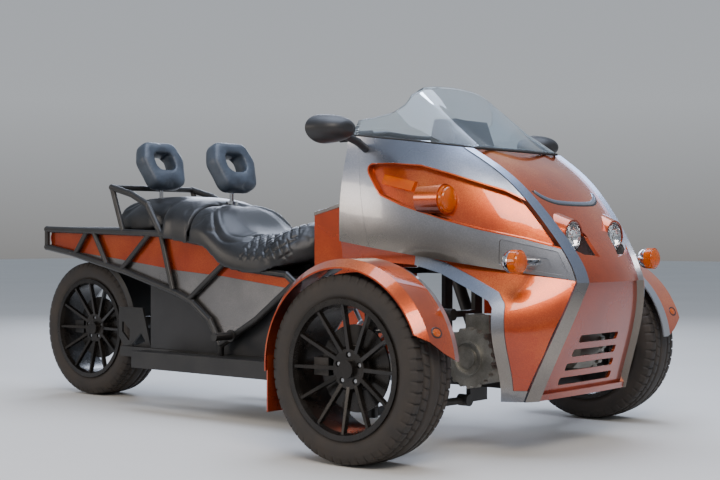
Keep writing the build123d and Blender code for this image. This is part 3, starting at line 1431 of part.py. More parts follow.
def build():
    os.makedirs("parts", exist_ok=True)
    tyre_shape = tyre()
    rim_shape = rim()
    places = (("front_left", wheel_x, 0.0, 1), ("front_right", -wheel_x, 0.0, -1), ("rear", 0.0, wheelbase, -1))
    for name, x, y, outer_side in places:
        save(place_wheel(tyre_shape, x, y, outer_side), f"tyre_{name}")
        save(place_wheel(rim_shape, x, y, outer_side), f"rim_{name}")
    for maker, name in ((knuckle, "knuckle"), (fender, "fender")):
        shape = maker()
        save(shape, f"{name}_left")
        save(mirror(shape, about=Plane.YZ), f"{name}_right")
    save(both_sides(wishbones()), "wishbones")
    save(both_sides(group([motor_unit(), half_shaft()])), "drive_units")
    save(dampers(), "dampers")
    save(steering_rack(), "steering_rack")
    save(handlebar(), "handlebar")
    save(both_sides(grip()), "grips")
    save(swing_arm(), "swing_arm")
    save(rear_fender(), "rear_fender")
    nose = nose_panel()
    save(nose, "nose_panel")
    strip = (ribbon(0) & below(cowl_line, 0)) - block(0, 600, -600, 0, 0, nose_low_z)
    save(both_sides(strip), "nose_ribbons")
    save(lower_nose_panel(), "lower_nose_panel")
    save(both_sides(side_fairing()), "side_fairings")
    save(both_sides(inset_panel()), "inset_panels")
    save(both_sides(group([lower_side_panel(), leg_panel()])), "lower_side_panels")
    save(both_sides(wing_trim()), "wing_trims")
    save(windshield(), "windshield")
    cabin = cabin_region(fairing_wall + panel_gap)
    save(instrument_panel(cabin, nose), "instrument_panel")
    save(both_sides(group([headlamp_bowl(), turn_lamp_bowl_shape()])), "lamp_bodies")
    save(both_sides(headlamp_lens()), "headlamp_lenses")
    save(both_sides(amber_lenses()), "amber_lenses")
    save(both_sides(tail_lamp()), "tail_lamps")
    save(both_sides(mirror_housing()), "mirrors")
    save(both_sides(mirror_glass()), "mirror_glasses")
    save(tube_frame(), "tube_frame")
    save(main_frame(cabin), "main_frame")
    save(battery_box(), "battery_box")
    save(tail_box(), "tail_box")
    save(both_sides(tail_panel(True)), "upper_tail_panels")
    save(both_sides(tail_panel(False)), "lower_tail_panels")
    save(both_sides(running_boards()), "running_boards")
    save(console_side(), "console_sides")
    save(console_cover(), "console_cover")
    seats = group([seat(saddle_sections), seat(pillion_sections)])
    pads = group([backrest_pad(y, pad_z) for y, _, pad_z in backrests])
    save(seats, "seats")
    save(pads, "backrest_pads")
    save(backrest_posts(pads, seats), "backrest_posts")


build()
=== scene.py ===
import math

import bmesh
import bpy
import numpy as np
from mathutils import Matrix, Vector
from mathutils.bvhtree import BVHTree


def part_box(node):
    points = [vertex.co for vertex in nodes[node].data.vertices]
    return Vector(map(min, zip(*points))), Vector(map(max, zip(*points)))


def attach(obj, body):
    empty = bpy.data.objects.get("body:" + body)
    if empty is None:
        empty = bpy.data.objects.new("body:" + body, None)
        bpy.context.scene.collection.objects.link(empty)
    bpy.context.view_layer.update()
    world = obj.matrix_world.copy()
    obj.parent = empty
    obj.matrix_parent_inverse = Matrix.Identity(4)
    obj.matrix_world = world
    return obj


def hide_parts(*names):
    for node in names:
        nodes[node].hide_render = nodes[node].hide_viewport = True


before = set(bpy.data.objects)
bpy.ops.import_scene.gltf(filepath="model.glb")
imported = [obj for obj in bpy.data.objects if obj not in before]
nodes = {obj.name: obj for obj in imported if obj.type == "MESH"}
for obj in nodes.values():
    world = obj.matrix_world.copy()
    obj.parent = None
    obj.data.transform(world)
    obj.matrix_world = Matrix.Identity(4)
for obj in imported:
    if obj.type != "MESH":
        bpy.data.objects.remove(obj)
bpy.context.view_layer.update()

# Open tandem three wheeler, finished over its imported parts. Metres; +X is the vehicle's left, +Y its rear.
print("frame loaded:", len(nodes), "parts")


camera = {
    "place": (-3.8388, -3.5473, 0.6848),
    "turnDegrees": (89.825, 0.0, -50.083),
    "lens": 68.19,
    "sensor": 36.0,
    "reach": 200.0,
}
studio = {
    "floorSize": 60.0,
    "floorColours": ((0.2, "#d2cfc9"), (0.8, "#d9d6d0")),
    "floorPatchMm": 1250.0,
    "floorRoughness": 0.85,
    "skyHeights": (-0.25, 0.9),
    "skyStops": ((0.16, "#8f8a84"), (0.9, "#c3d3ea"), (0.3, "#dfe3e8")),
    "skyStrength": 0.62,
    # name: place, aimed at, width, height, watts, colour
    "lamps": (
        ("keyBox", (-4.2, -4.6, 4.6), (0.0, -0.4, 0.6), 3.4, 2.2, 300.0, "#fff4e8"),
        ("topBox", (0.4, -0.6, 4.4), (0.0, -0.2, 0.4), 4.2, 3.0, 230.0, "#dbe7ff"),
        ("rearBox", (4.2, 3.6, 2.8), (0.0, 0.2, 0.7), 2.6, 1.8, 150.0, "#dfe9ff"),
        ("sideBox", (-4.8, 2.4, 2.0), (-0.2, 0.6, 0.5), 2.4, 1.4, 70.0, "#fff0e0"),
    ),
}


def toLinear(hexText):  # sRGB hex to the linear colour that shaders take
    values = [int(hexText[i:i + 2], 16) / 255 for i in (1, 3, 5)]
    return (*[v / 12.92 if v <= 0.04045 else ((v + 0.055) / 1.055) ** 2.4 for v in values], 1.0)


def addNode(tree, kind, values=None, links=None):  # a node with its settings and its incoming links
    node = tree.nodes.new(kind)
    for key, value in (values or {}).items():
        if isinstance(key, str) and hasattr(node, key):
            setattr(node, key, value)
        else:
            node.inputs[key].default_value = value
    for key, (source, output) in (links or {}).items():
        tree.links.new(source.outputs[output], node.inputs[key])
    return node


def makeCamera():
    data = bpy.data.cameras.new("photoCamera")
    data.lens = camera["lens"]
    data.sensor_width = camera["sensor"]
    data.clip_end = camera["reach"]
    eye = bpy.data.objects.new("photoCamera", data)
    eye.location = camera["place"]
    eye.rotation_euler = [math.radians(v) for v in camera["turnDegrees"]]
    bpy.context.scene.collection.objects.link(eye)
    bpy.context.scene.camera = eye


def makeLamp(name, place, aim, width, height, watts, colour):
    data = bpy.data.lights.new(name, "AREA")
    data.shape = "RECTANGLE"
    data.size, data.size_y, data.energy = width, height, watts
    data.color = toLinear(colour)[:3]
    lamp = bpy.data.objects.new(name, data)
    lamp.location = place
    lamp.rotation_euler = (Vector(aim) - Vector(place)).to_track_quat("-Z", "Y").to_euler()
    bpy.context.scene.collection.objects.link(lamp)


def makeSky():  # pale dome: cool above, a soft bright band at eye height and warm grey below
    world = bpy.data.worlds.new("studioSky")
    world.use_nodes = True
    tree = world.node_tree
    tree.nodes.clear()
    where = addNode(tree, "ShaderNodeTexCoord")
    parts = addNode(tree, "ShaderNodeSeparateXYZ", links={0: (where, "Generated")})
    low, high = studio["skyHeights"]
    height = addNode(tree, "ShaderNodeMapRange", {1: low, 2: high}, {0: (parts, "Z")})
    ramp = colourRamp(tree, height, 0, studio["skyStops"])
    light = addNode(tree, "ShaderNodeBackground", {"Strength": studio["skyStrength"]}, {"Color": (ramp, 0)})
    addNode(tree, "ShaderNodeOutputWorld", links={"Surface": (light, 0)})
    bpy.context.scene.world = world


def newMaterial(name):  # a new material with its tree, shader, and the link that gives object coordinates
    material = bpy.data.materials.new(name)
    material.use_nodes = True
    tree = material.node_tree
    tree.nodes.clear()
    shader = addNode(tree, "ShaderNodeBsdfPrincipled")
    addNode(tree, "ShaderNodeOutputMaterial", links={"Surface": (shader, 0)})
    where = addNode(tree, "ShaderNodeTexCoord")
    return material, tree, shader, {"Vector": (where, "Object")}


def colourRamp(tree, source, output, stops):  # stops: position and hex colour
    ramp = addNode(tree, "ShaderNodeValToRGB", links={0: (source, output)})
    elements = ramp.color_ramp.elements
    for index, (position, colour) in enumerate(stops):
        element = elements[index] if index < 2 else elements.new(position)
        element.position = position
        element.color = toLinear(colour)
    return ramp


def linkSurface(tree, shader, colour, roughBy, settings):
    # The base colour, and a roughness between its two settings by another value from 0 to 1
    tree.links.new(colour, shader.inputs["Base Color"])
    low, high = settings["roughness"]
    rough = addNode(tree, "ShaderNodeMapRange", {3: low, 4: high}, {0: roughBy})
    tree.links.new(rough.outputs[0], shader.inputs["Roughness"])


makeCamera()
makeSky()
for row in studio["lamps"]:
    makeLamp(*row)
print("camera and studio made")


# The clear coat, its relief in metres, and the ranges of flake grey and of a face's slope (for the painted
# reflection and shade) that ramps span
lacquer = {"roughness": 0.04, "peelMm": 9.0, "peelBump": 0.05, "relief": 0.0004}
paintRanges = {"grey": (0.25, 0.75), "slope": (-0.55, 0.85)}


def paintFinish(name, settings):
    # Metallic base coat under clear lacquer. Fine flakes glint in it, long soft waves dull it a little, and
    # its colour is multiplied by painted reflection and shade by slope, from darker and warm on faces turned
    # down to lighter and cool on faces turned up. Where asked, a second colour covers what lies nearer the
    # vehicle's middle than a given distance
    material, tree, shader, local = newMaterial(name)
    flakes = addNode(tree, "ShaderNodeTexVoronoi", {"Scale": 1000.0 / settings["flakeMm"]}, local)
    flakeGrey = addNode(tree, "ShaderNodeSeparateColor", links={0: (flakes, "Color")})
    soft = addNode(tree, "ShaderNodeTexNoise", {"Scale": 1000.0 / settings["cloudMm"], "Detail": 3.0}, local)
    share = settings["flakeShare"]
    mixed = addNode(tree, "ShaderNodeMath", {"operation": "MULTIPLY_ADD", 1: share},
                    {0: (flakeGrey, 0), 2: (soft, 0)})
    low, high = paintRanges["grey"]
    spread = addNode(tree, "ShaderNodeMapRange", {1: low, 2: high + share}, {0: (mixed, 0)})
    ramp = colourRamp(tree, spread, 0, settings["colours"])
    surface = addNode(tree, "ShaderNodeNewGeometry")
    slope = addNode(tree, "ShaderNodeSeparateXYZ", links={0: (surface, "Normal")})
    low, high = paintRanges["slope"]
    upward = addNode(tree, "ShaderNodeMapRange", {1: low, 2: high}, {0: (slope, "Z")})
    # Painted reflection and shade: a ramp on the face's slope multiplies the colour, dark and warm turned
    # down, light and cool turned up
    reflectionShadeRamp = colourRamp(tree, upward, 0, settings["paintedReflectionShade"])
    reflectionShaded = addNode(tree, "ShaderNodeMix", {"data_type": "RGBA", "blend_type": "MULTIPLY", 0: 1.0},
                    {6: (ramp, 0), 7: (reflectionShadeRamp, 0)})
    if "bandInside" in settings:
        place = addNode(tree, "ShaderNodeSeparateXYZ", links={0: local["Vector"]})
        away = addNode(tree, "ShaderNodeMath", {"operation": "ABSOLUTE"}, {0: (place, "X")})
        nearValues = {"operation": "LESS_THAN", 1: settings["bandInside"]}
        nearer = addNode(tree, "ShaderNodeMath", nearValues, {0: (away, 0)})
        bandValues = {"data_type": "RGBA", "blend_type": "MIX", 7: toLinear(settings["bandColour"])}
        reflectionShaded = addNode(tree, "ShaderNodeMix", bandValues, {0: (nearer, 0), 6: (reflectionShaded, 2)})
    linkSurface(tree, shader, reflectionShaded.outputs[2], (soft, 0), settings)
    shader.inputs["Metallic"].default_value = settings["metallic"]
    shader.inputs["Coat Weight"].default_value = settings["coat"]
    shader.inputs["Coat Roughness"].default_value = lacquer["roughness"]
    tilt = addNode(tree, "ShaderNodeBump", {"Strength": settings["flakeBump"], "Distance": lacquer["relief"]},
                   {"Height": (flakeGrey, 0)})
    tree.links.new(tilt.outputs[0], shader.inputs["Normal"])
    peel = addNode(tree, "ShaderNodeTexNoise", {"Scale": 1000.0 / lacquer["peelMm"], "Detail": 1.0}, local)
    skin = addNode(tree, "ShaderNodeBump", {"Strength": lacquer["peelBump"], "Distance": lacquer["relief"]},
                   {"Height": (peel, 0)})
    tree.links.new(skin.outputs[0], shader.inputs["Coat Normal"])
    return material


# The grain's share in the grey, the range of grey that a ramp spans, and the relief as a share of the grain
grains = {"share": 0.35, "grey": (0.42, 0.95), "patchRoughness": 0.6, "relief": 0.25}


def grainFinish(name, settings):
    # Moulded, cast, powder coated, leather or rubber surface: a grain in colour, roughness and relief, worn
    # in patches
    material, tree, shader, local = newMaterial(name)
    grain = addNode(tree, "ShaderNodeTexNoise", {"Scale": 1000.0 / settings["grainMm"], "Detail": 4.0}, local)
    patchValues = {"Scale": 1000.0 / settings["patchMm"], "Detail": 5.0,
                   "Roughness": grains["patchRoughness"]}
    patches = addNode(tree, "ShaderNodeTexNoise", patchValues, local)
    both = addNode(tree, "ShaderNodeMath", {"operation": "MULTIPLY_ADD", 1: grains["share"]},
                   {0: (grain, 0), 2: (patches, 0)})
    low, high = grains["grey"]
    spread = addNode(tree, "ShaderNodeMapRange", {1: low, 2: high}, {0: (both, 0)})
    ramp = colourRamp(tree, spread, 0, settings["colours"])
    linkSurface(tree, shader, ramp.outputs[0], (spread, 0), settings)
    shader.inputs["Metallic"].default_value = settings["metallic"]
    bumpValues = {"Strength": settings["bump"], "Distance": settings["grainMm"] / 1000.0 * grains["relief"]}
    bump = addNode(tree, "ShaderNodeBump", bumpValues, {"Height": (grain, 0)})
    tree.links.new(bump.outputs[0], shader.inputs["Normal"])
    return material


def clearFinish(name, settings):
    # Clear moulded polymer: a faint tint that varies a little, and a dusty film
    material, tree, shader, local = newMaterial(name)
    film = addNode(tree, "ShaderNodeTexNoise", {"Scale": 1000.0 / settings["filmMm"], "Detail": 3.0}, local)
    ramp = colourRamp(tree, film, 0, settings["colours"])
    linkSurface(tree, shader, ramp.outputs[0], (film, 0), settings)
    shader.inputs["IOR"].default_value = settings["ior"]
    shader.inputs["Transmission Weight"].default_value = settings["clear"]
    return material


# Hex colours by position on each ramp, and grain sizes in millimetres, coarser than real so that they show
copper = {
    "colours": ((0.0, "#9a4115"), (0.55, "#cb5d22"), (1.0, "#ee9250")), "flakeMm": 2.2, "cloudMm": 260.0,
    # Painted reflection and shade by face slope: dark warm brown on faces turned down, pale to white on faces
    # turned up
    "paintedReflectionShade": ((0.0, "#94684a"), (0.35, "#d6a680"), (0.7, "#fae0c0"), (1.0, "#ffffff")),
    "flakeShare": 0.22, "roughness": (0.24, 0.32), "metallic": 0.7, "coat": 1.0, "flakeBump": 0.06,
}
finishes = {
    "copperPaint": paintFinish("copperMetallicPaint", copper),
    "fenderPaint": paintFinish("copperPaintSilverBand", {
        **copper, "bandInside": 0.6605, "bandColour": "#a0a3a8"}),
    "silverPaint": paintFinish("silverMetallicPaint", {
        "colours": ((0.0, "#8b8f98"), (0.55, "#a5abb5"), (1.0, "#c8ced8")), "flakeMm": 2.2, "cloudMm": 260.0,
        # Painted reflection and shade by face slope: tan of the ground on faces turned down, pale blue of the
        # sky on faces turned up
        "paintedReflectionShade": ((0.0, "#a8937c"), (0.35, "#ccbca8"), (0.6, "#dfe2ea"), (1.0, "#e6eeff")),
        "flakeShare": 0.16, "roughness": (0.24, 0.32), "metallic": 0.9, "coat": 1.0, "flakeBump": 0.05}),
    "blackPowder": grainFinish("blackPowderCoat", {
        "colours": ((0.0, "#141312"), (1.0, "#2a2826")), "grainMm": 2.5, "patchMm": 120.0,
        "roughness": (0.34, 0.5), "metallic": 0.0, "bump": 0.2}),
    "wheelBlack": grainFinish("glossBlackWheelPaint", {
        "colours": ((0.0, "#100f0e"), (1.0, "#2b2622")), "grainMm": 3.0, "patchMm": 90.0,
        "roughness": (0.2, 0.34), "metallic": 0.35, "bump": 0.08}),
    "tyreRubber": grainFinish("tyreRubber", {
        "colours": ((0.0, "#1d1916"), (1.0, "#3a322b")), "grainMm": 2.4, "patchMm": 80.0,
        "roughness": (0.62, 0.82), "metallic": 0.0, "bump": 0.35}),
    "gripRubber": grainFinish("ribbedGripRubber", {
        "colours": ((0.0, "#151414"), (1.0, "#262524")), "grainMm": 2.0, "patchMm": 40.0,
        "roughness": (0.6, 0.8), "metallic": 0.0, "bump": 0.4}),
    "blackPlastic": grainFinish("mouldedBlackPlastic", {
        "colours": ((0.0, "#161617"), (1.0, "#2b2b2d")), "grainMm": 2.2, "patchMm": 140.0,
        "roughness": (0.4, 0.58), "metallic": 0.0, "bump": 0.25}),
    "castAluminium": grainFinish("castAluminium", {
        "colours": ((0.0, "#77756f"), (1.0, "#b5b2aa")), "grainMm": 3.0, "patchMm": 60.0,
        "roughness": (0.38, 0.6), "metallic": 0.9, "bump": 0.4}),
    "castIron": grainFinish("castIron", {
        "colours": ((0.0, "#2c2a28"), (1.0, "#5a5653")), "grainMm": 3.0, "patchMm": 50.0,
        "roughness": (0.45, 0.7), "metallic": 0.7, "bump": 0.4}),
    "brightSteel": grainFinish("machinedSteel", {
        "colours": ((0.0, "#7b7c7e"), (1.0, "#b9babc")), "grainMm": 2.0, "patchMm": 40.0,
        "roughness": (0.2, 0.36), "metallic": 1.0, "bump": 0.1}),
    "chrome": grainFinish("chromePlate", {
        "colours": ((0.0, "#c2c4c8"), (1.0, "#e2e4e8")), "grainMm": 4.0, "patchMm": 60.0,
        "roughness": (0.05, 0.12), "metallic": 1.0, "bump": 0.02}),
    "mirrorGlass": grainFinish("silveredGlass", {
        "colours": ((0.0, "#d3d7da"), (1.0, "#e8ecee")), "grainMm": 8.0, "patchMm": 60.0,
        "roughness": (0.02, 0.05), "metallic": 1.0, "bump": 0.01}),
    "blackLeather": grainFinish("blackLeather", {
        "colours": ((0.0, "#121212"), (1.0, "#262627")), "grainMm": 4.0, "patchMm": 90.0,
        "roughness": (0.34, 0.46), "metallic": 0.0, "bump": 0.22}),
    "greyLeather": grainFinish("greyLeather", {
        "colours": ((0.0, "#262c34"), (1.0, "#434d59")), "grainMm": 4.0, "patchMm": 90.0,
        "roughness": (0.36, 0.52), "metallic": 0.0, "bump": 0.3}),
    "clearScreen": clearFinish("clearPolycarbonate", {
        "colours": ((0.0, "#dbe9f2"), (1.0, "#eef6fb")), "filmMm": 200.0, "roughness": (0.0, 0.03),
        "ior": 1.3, "clear": 0.97}),
    "clearLens": clearFinish("clearLensPolycarbonate", {
        "colours": ((0.0, "#eef2f4"), (1.0, "#ffffff")), "filmMm": 30.0, "roughness": (0.0, 0.05),
        "ior": 1.45, "clear": 0.95}),
    "amberLens": clearFinish("amberLensAcrylic", {
        "colours": ((0.0, "#e0560c"), (1.0, "#ff8a1e")), "filmMm": 30.0, "roughness": (0.08, 0.16),
        "ior": 1.49, "clear": 0.55}),
    "redLens": clearFinish("redLensAcrylic", {
        "colours": ((0.0, "#a01008"), (1.0, "#d8281a")), "filmMm": 30.0, "roughness": (0.08, 0.16),
        "ior": 1.49, "clear": 0.5}),
}
nodeFinishes = {
    "tyreRubber": ("tyre_front_left", "tyre_front_right", "tyre_rear"),
    "wheelBlack": ("rim_front_left", "rim_front_right", "rim_rear"),
    "castIron": ("knuckle_left", "knuckle_right"),
    "fenderPaint": ("fender_left", "fender_right"),
    "copperPaint": ("nose_panel", "lower_nose_panel", "inset_panels",
                    "lower_side_panels", "upper_tail_panels", "console_sides"),
    "silverPaint": ("nose_ribbons", "side_fairings", "wing_trims", "lower_tail_panels", "console_cover"),
    "blackPowder": ("wishbones", "handlebar", "swing_arm", "tube_frame", "main_frame", "running_boards"),
    "castAluminium": ("drive_units",),
    "brightSteel": ("dampers", "steering_rack"),
    "gripRubber": ("grips",),
    "blackPlastic": ("rear_fender", "instrument_panel", "mirrors", "battery_box", "tail_box"),
    "clearScreen": ("windshield",),
    "chrome": ("lamp_bodies", "backrest_posts"),
    "clearLens": ("headlamp_lenses",),
    "amberLens": ("amber_lenses",),
    "redLens": ("tail_lamps",),
    "mirrorGlass": ("mirror_glasses",),
    "blackLeather": ("seats",),
    "greyLeather": ("backrest_pads",),
}
for finishName, names in nodeFinishes.items():
    for nodeName in names:
        slots = nodes[nodeName].data.materials
        slots.clear()
        slots.append(finishes[finishName])
print("finishes made:", len(finishes))


# Below, model millimetres are measured from the front axle line at ground level, as in the parts' own source
axleLine = np.array([0.0, 0.916, 0.0])


def toFrame(points):  # model millimetres to metres in the frame
    return np.asarray(points, float) / 1000.0 - axleLine


def gridFaces(rows, columns, closeRows=False, closeColumns=False):
    # Quads between the neighbours of a rows by columns grid of points, wrapped round where asked
    row = np.arange(rows if closeRows else rows - 1)[:, None]
    column = np.arange(columns if closeColumns else columns - 1)[None, :]
    below, right = (row + 1) % rows * columns, (column + 1) % columns
    here = row * columns
    corners = np.broadcast_arrays(here + column, here + right, below + right, below + column)
    return np.stack(corners, axis=-1).reshape(-1, 4)


def tubeFaces(rows, columns):  # a closed tube of rings, with one face over each end
    last = (rows - 1) * columns
    ends = [list(range(columns)), list(range(last, last + columns))]
    return gridFaces(rows, columns, closeColumns=True).tolist() + ends


def squareTo(axis):  # two directions square to an axis and to each other
    side = Vector(axis).orthogonal().normalized()
    return np.array(side), np.array(Vector(axis).cross(side))


def makePiece(name, points, faces, finish, body, slot, smooth=True):
    # A mesh piece from its points and faces, with outward normals, riding on a body
    mesh = bpy.data.meshes.new(name)
    mesh.from_pydata(np.asarray(points).reshape(-1, 3).tolist(), [], [list(face) for face in faces])
    shape = bmesh.new()
    shape.from_mesh(mesh)
    bmesh.ops.remove_doubles(shape, verts=shape.verts, dist=1e-6)
    bmesh.ops.recalc_face_normals(shape, faces=shape.faces)
    shape.to_mesh(mesh)
    shape.free()
    mesh.materials.append(finish)
    mesh.polygons.foreach_set("use_smooth", [smooth] * len(mesh.polygons))
    piece = bpy.data.objects.new(name, mesh)
    bpy.context.scene.collection.objects.link(piece)
    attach(piece, body)
    return piece


def joinParts(parts):  # points and faces of several shapes as one list each
    points, faces, start = [], [], 0
    for shapePoints, shapeFaces in parts:
        shapePoints = np.asarray(shapePoints).reshape(-1, 3)
        points.append(shapePoints)
        faces += [[start + index for index in face] for face in shapeFaces]
        start += len(shapePoints)
    return np.concatenate(points), faces


def smoothColumns(table, where):
    # A cubic through each column of a table at the places given, with slopes the mean of the runs either side
    table = np.asarray(table, float)
    place, values = table[:, 0], table[:, 1:]
    runs = np.diff(values, axis=0) / np.diff(place)[:, None]
    slopes = np.vstack([runs[:1], (runs[1:] + runs[:-1]) / 2, runs[-1:]])
    low = np.clip(np.searchsorted(place, where, side="right") - 1, 0, len(place) - 2)
    step = (place[low + 1] - place[low])[:, None]
    t = (where - place[low])[:, None] / step
    return ((2 * t**3 - 3 * t**2 + 1) * values[low] + (t**3 - 2 * t**2 + t) * step * slopes[low]
            + (3 * t**2 - 2 * t**3) * values[low + 1] + (t**3 - t**2) * step * slopes[low + 1])


def turned(profile, centre, axis, count, flutes=0, fluteDepth=0.0):
    # Revolution: each (along, radius) point of the profile goes round the axis; flutes ripple the radius
    along, radius = np.asarray(profile, float).T
    angle = np.linspace(0, 2 * np.pi, count, endpoint=False)[:, None]
    ripple = radius * (1 + fluteDepth * np.cos(flutes * angle))
    side, other = squareTo(axis)
    points = (np.array(centre) + along[None, :, None] * np.array(axis)
              + (ripple * np.cos(angle))[..., None] * side + (ripple * np.sin(angle))[..., None] * other)
    return points.reshape(-1, 3), gridFaces(count, len(along), closeRows=True)


def sweptTube(path, radius, count=10):
    # Round section carried along a path: each ring stands square to the path's run at its point
    path = np.asarray(path, float)
    run = np.gradient(path, axis=0)
    run /= np.linalg.norm(run, axis=1)[:, None]
    side = np.cross(run, [0.0, 0.0, 1.0])
    side /= np.linalg.norm(side, axis=1)[:, None]
    other = np.cross(side, run)
    angle = np.linspace(0, 2 * np.pi, count, endpoint=False)
    points = path[:, None] + radius * (np.cos(angle)[None, :, None] * side[:, None]
                                       + np.sin(angle)[None, :, None] * other[:, None])
    return points.reshape(-1, 3), tubeFaces(len(path), count)


def arcThrough(start, middle, end, count):
    # Points at even angles on the circle through three points of a plane
    (ax, ay), (bx, by), (cx, cy) = start, middle, end
    double = 2 * (ax * (by - cy) + bx * (cy - ay) + cx * (ay - by))
    squares = (ax * ax + ay * ay, bx * bx + by * by, cx * cx + cy * cy)
    x = (squares[0] * (by - cy) + squares[1] * (cy - ay) + squares[2] * (ay - by)) / double
    y = (squares[0] * (cx - bx) + squares[1] * (ax - cx) + squares[2] * (bx - ax)) / double
    first, last = math.atan2(ay - y, ax - x), math.atan2(cy - y, cx - x)
    angle = np.linspace(first, last, count)
    size = math.hypot(ax - x, ay - y)
    return np.stack([x + size * np.cos(angle), y + size * np.sin(angle)], axis=1)


# Tyres: millimetres across from the middle and out from the axle. A cut is where it starts and ends across,
# where it starts and ends within a pitch, and its depth
tyre = {
    "crownRadius": 288.0, "shoulderAcross": 80.5, "shoulderRadius": 281.0,
    "sidewall": ((80.5, 281.0), (92.4, 246.0), (80.0, 212.0)), "sidewallPoints": 16,
    "bead": (80.0, 204.5),
    "lining": ((72.0, 205.0), (72.0, 216.0), (84.0, 246.0), (73.0, 270.0), (0.0, 277.0)),
    "rings": (226.0, 262.0), "ringRise": 0.9, "ringWidth": 3.0,
    "columns": (10.0, 19.6, 20.6, 27.4, 28.4, 39.0, 50.4, 51.4, 56.8, 57.8, 66.0, 74.0, 80.5),
    "grooves": ((20.0, 28.0), (51.0, 57.2)), "grooveDepth": 6.5,
    "cuts": ((57.5, 100.0, 0.02, 0.16, 4.5), (28.2, 50.6, 0.52, 0.63, 3.5)),
    "cutRoot": 255.0, "cutFade": 26.0,
    "pitches": 54, "phases": (0.0, 0.03, 0.15, 0.18, 0.34, 0.5, 0.53, 0.62, 0.65, 0.82),
    "slantReach": 57.0, "slant": 0.315,
}


def tyreShape(centre):
    # Section: parabolic crown, sidewall arcs, beads and lining, swept round the axle. Points of the outer
    # skin sink by the depth of the groove or cut they lie in, less down the sidewall; rows shear with the
    # distance across
    columns = np.array(tyre["columns"])
    across = np.concatenate([-columns[::-1], [0.0], columns])
    drop = tyre["crownRadius"] - tyre["shoulderRadius"]
    crown = np.stack([across, tyre["crownRadius"] - drop * (across / tyre["shoulderAcross"]) ** 2], axis=1)
    wall = arcThrough(*tyre["sidewall"], tyre["sidewallPoints"])[1:]
    bumps = sum(np.exp(-((wall[:, 1] - ring) / tyre["ringWidth"]) ** 2) for ring in tyre["rings"])
    wall[:, 0] += tyre["ringRise"] * (bumps - 1)
    lining, bead, flip = np.array(tyre["lining"]), np.array([tyre["bead"]]), np.array([-1.0, 1.0])
    otherHalf = [(lining * flip)[-2::-1], bead * flip, (wall * flip)[::-1]]
    profile = np.concatenate([crown, wall, bead, lining, *otherHalf])
    x, radius = profile.T
    skin = radius > tyre["cutRoot"]
    skin[len(crown) + len(wall):-len(wall)] = False
    phase = np.tile(tyre["phases"], tyre["pitches"])
    turn = (np.repeat(np.arange(tyre["pitches"]), len(tyre["phases"])) + phase) / tyre["pitches"] * 2 * np.pi
    size = np.abs(x)
    sunk = np.zeros((len(turn), len(x)))
    for low, high in tyre["grooves"]:
        sunk[:, (size > low) & (size < high) & skin] = tyre["grooveDepth"]
    for low, high, start, end, deep in tyre["cuts"]:
        sunk[np.ix_((phase > start) & (phase < end), (size > low) & (size < high) & skin)] = deep
    shear = np.clip(x, -tyre["slantReach"], tyre["slantReach"]) * tyre["slant"] / tyre["crownRadius"]
    angle = turn[:, None] + shear
    real = radius - sunk * np.clip((radius - tyre["cutRoot"]) / tyre["cutFade"], 0.0, 1.0)
    points = np.stack([np.broadcast_to(x, real.shape), real * np.cos(angle), real * np.sin(angle)], axis=-1)
    return points / 1000.0 + np.array(centre), gridFaces(len(turn), len(x), True, True)


# In metres: the bolts' circle, the hub's face from the wheel's middle, the recess in it, and one bolt's head,
# whose rings are shares of its height and radius
lugBolts = {
    "circle": 0.043, "face": 0.054, "recess": 0.012, "count": 5, "radius": 0.0075, "height": 0.008,
    "rings": ((0.0, 1.0), (0.8, 1.0), (1.0, 0.86), (1.0, 0.001)),
}


def hexHeads(places, axis):
    # Bolt heads with a chamfered rim: one template of rings of six, copied to each place by adding
    side, other = squareTo(axis)
    angle = np.arange(6) * np.pi / 3
    ring = np.cos(angle)[:, None] * side + np.sin(angle)[:, None] * other
    radius, height = lugBolts["radius"], lugBolts["height"]
    template = np.concatenate([height * up * np.array(axis) + radius * out * ring
                               for up, out in lugBolts["rings"]])
    points = np.asarray(places)[:, None] + template[None]
    starts = np.arange(len(places))[:, None, None] * len(template)
    faces = starts + gridFaces(len(lugBolts["rings"]), 6, closeColumns=True)
    return points.reshape(-1, 3), faces.reshape(-1, 4)


def wheelMiddle(node):
    low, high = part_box(node)
    return (np.array(low) + np.array(high)) / 2


wheelRows = (("front_left", "wheel_front_left", 1), ("front_right", "wheel_front_right", -1),
             ("rear", "wheel_rear", -1))
for wheel, body, outer in wheelRows:
    middle = wheelMiddle("tyre_" + wheel)
    piece = makePiece("treaded_tyre_" + wheel, *tyreShape(middle), finishes["tyreRubber"], body, "tyre")
    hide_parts("tyre_" + wheel)
    turns = np.arange(lugBolts["count"]) * 2 * np.pi / lugBolts["count"] + np.pi / 2
    sideways = np.full(len(turns), outer * (lugBolts["face"] - lugBolts["recess"]))
    ring = lugBolts["circle"] * np.stack([np.cos(turns), np.sin(turns)], axis=1)
    heads = hexHeads(np.column_stack([sideways, ring]) + middle, (outer, 0, 0))
    makePiece("lug_bolts_" + wheel, *heads, finishes["brightSteel"], body, "bright_steel", smooth=False)
print("tyres and bolts made")


# What all soft pieces share: how strongly a smoothing step acts, and how finely and how long the cloth moves
softRun = {"smooth": 0.5, "quality": 4, "frames": 20}


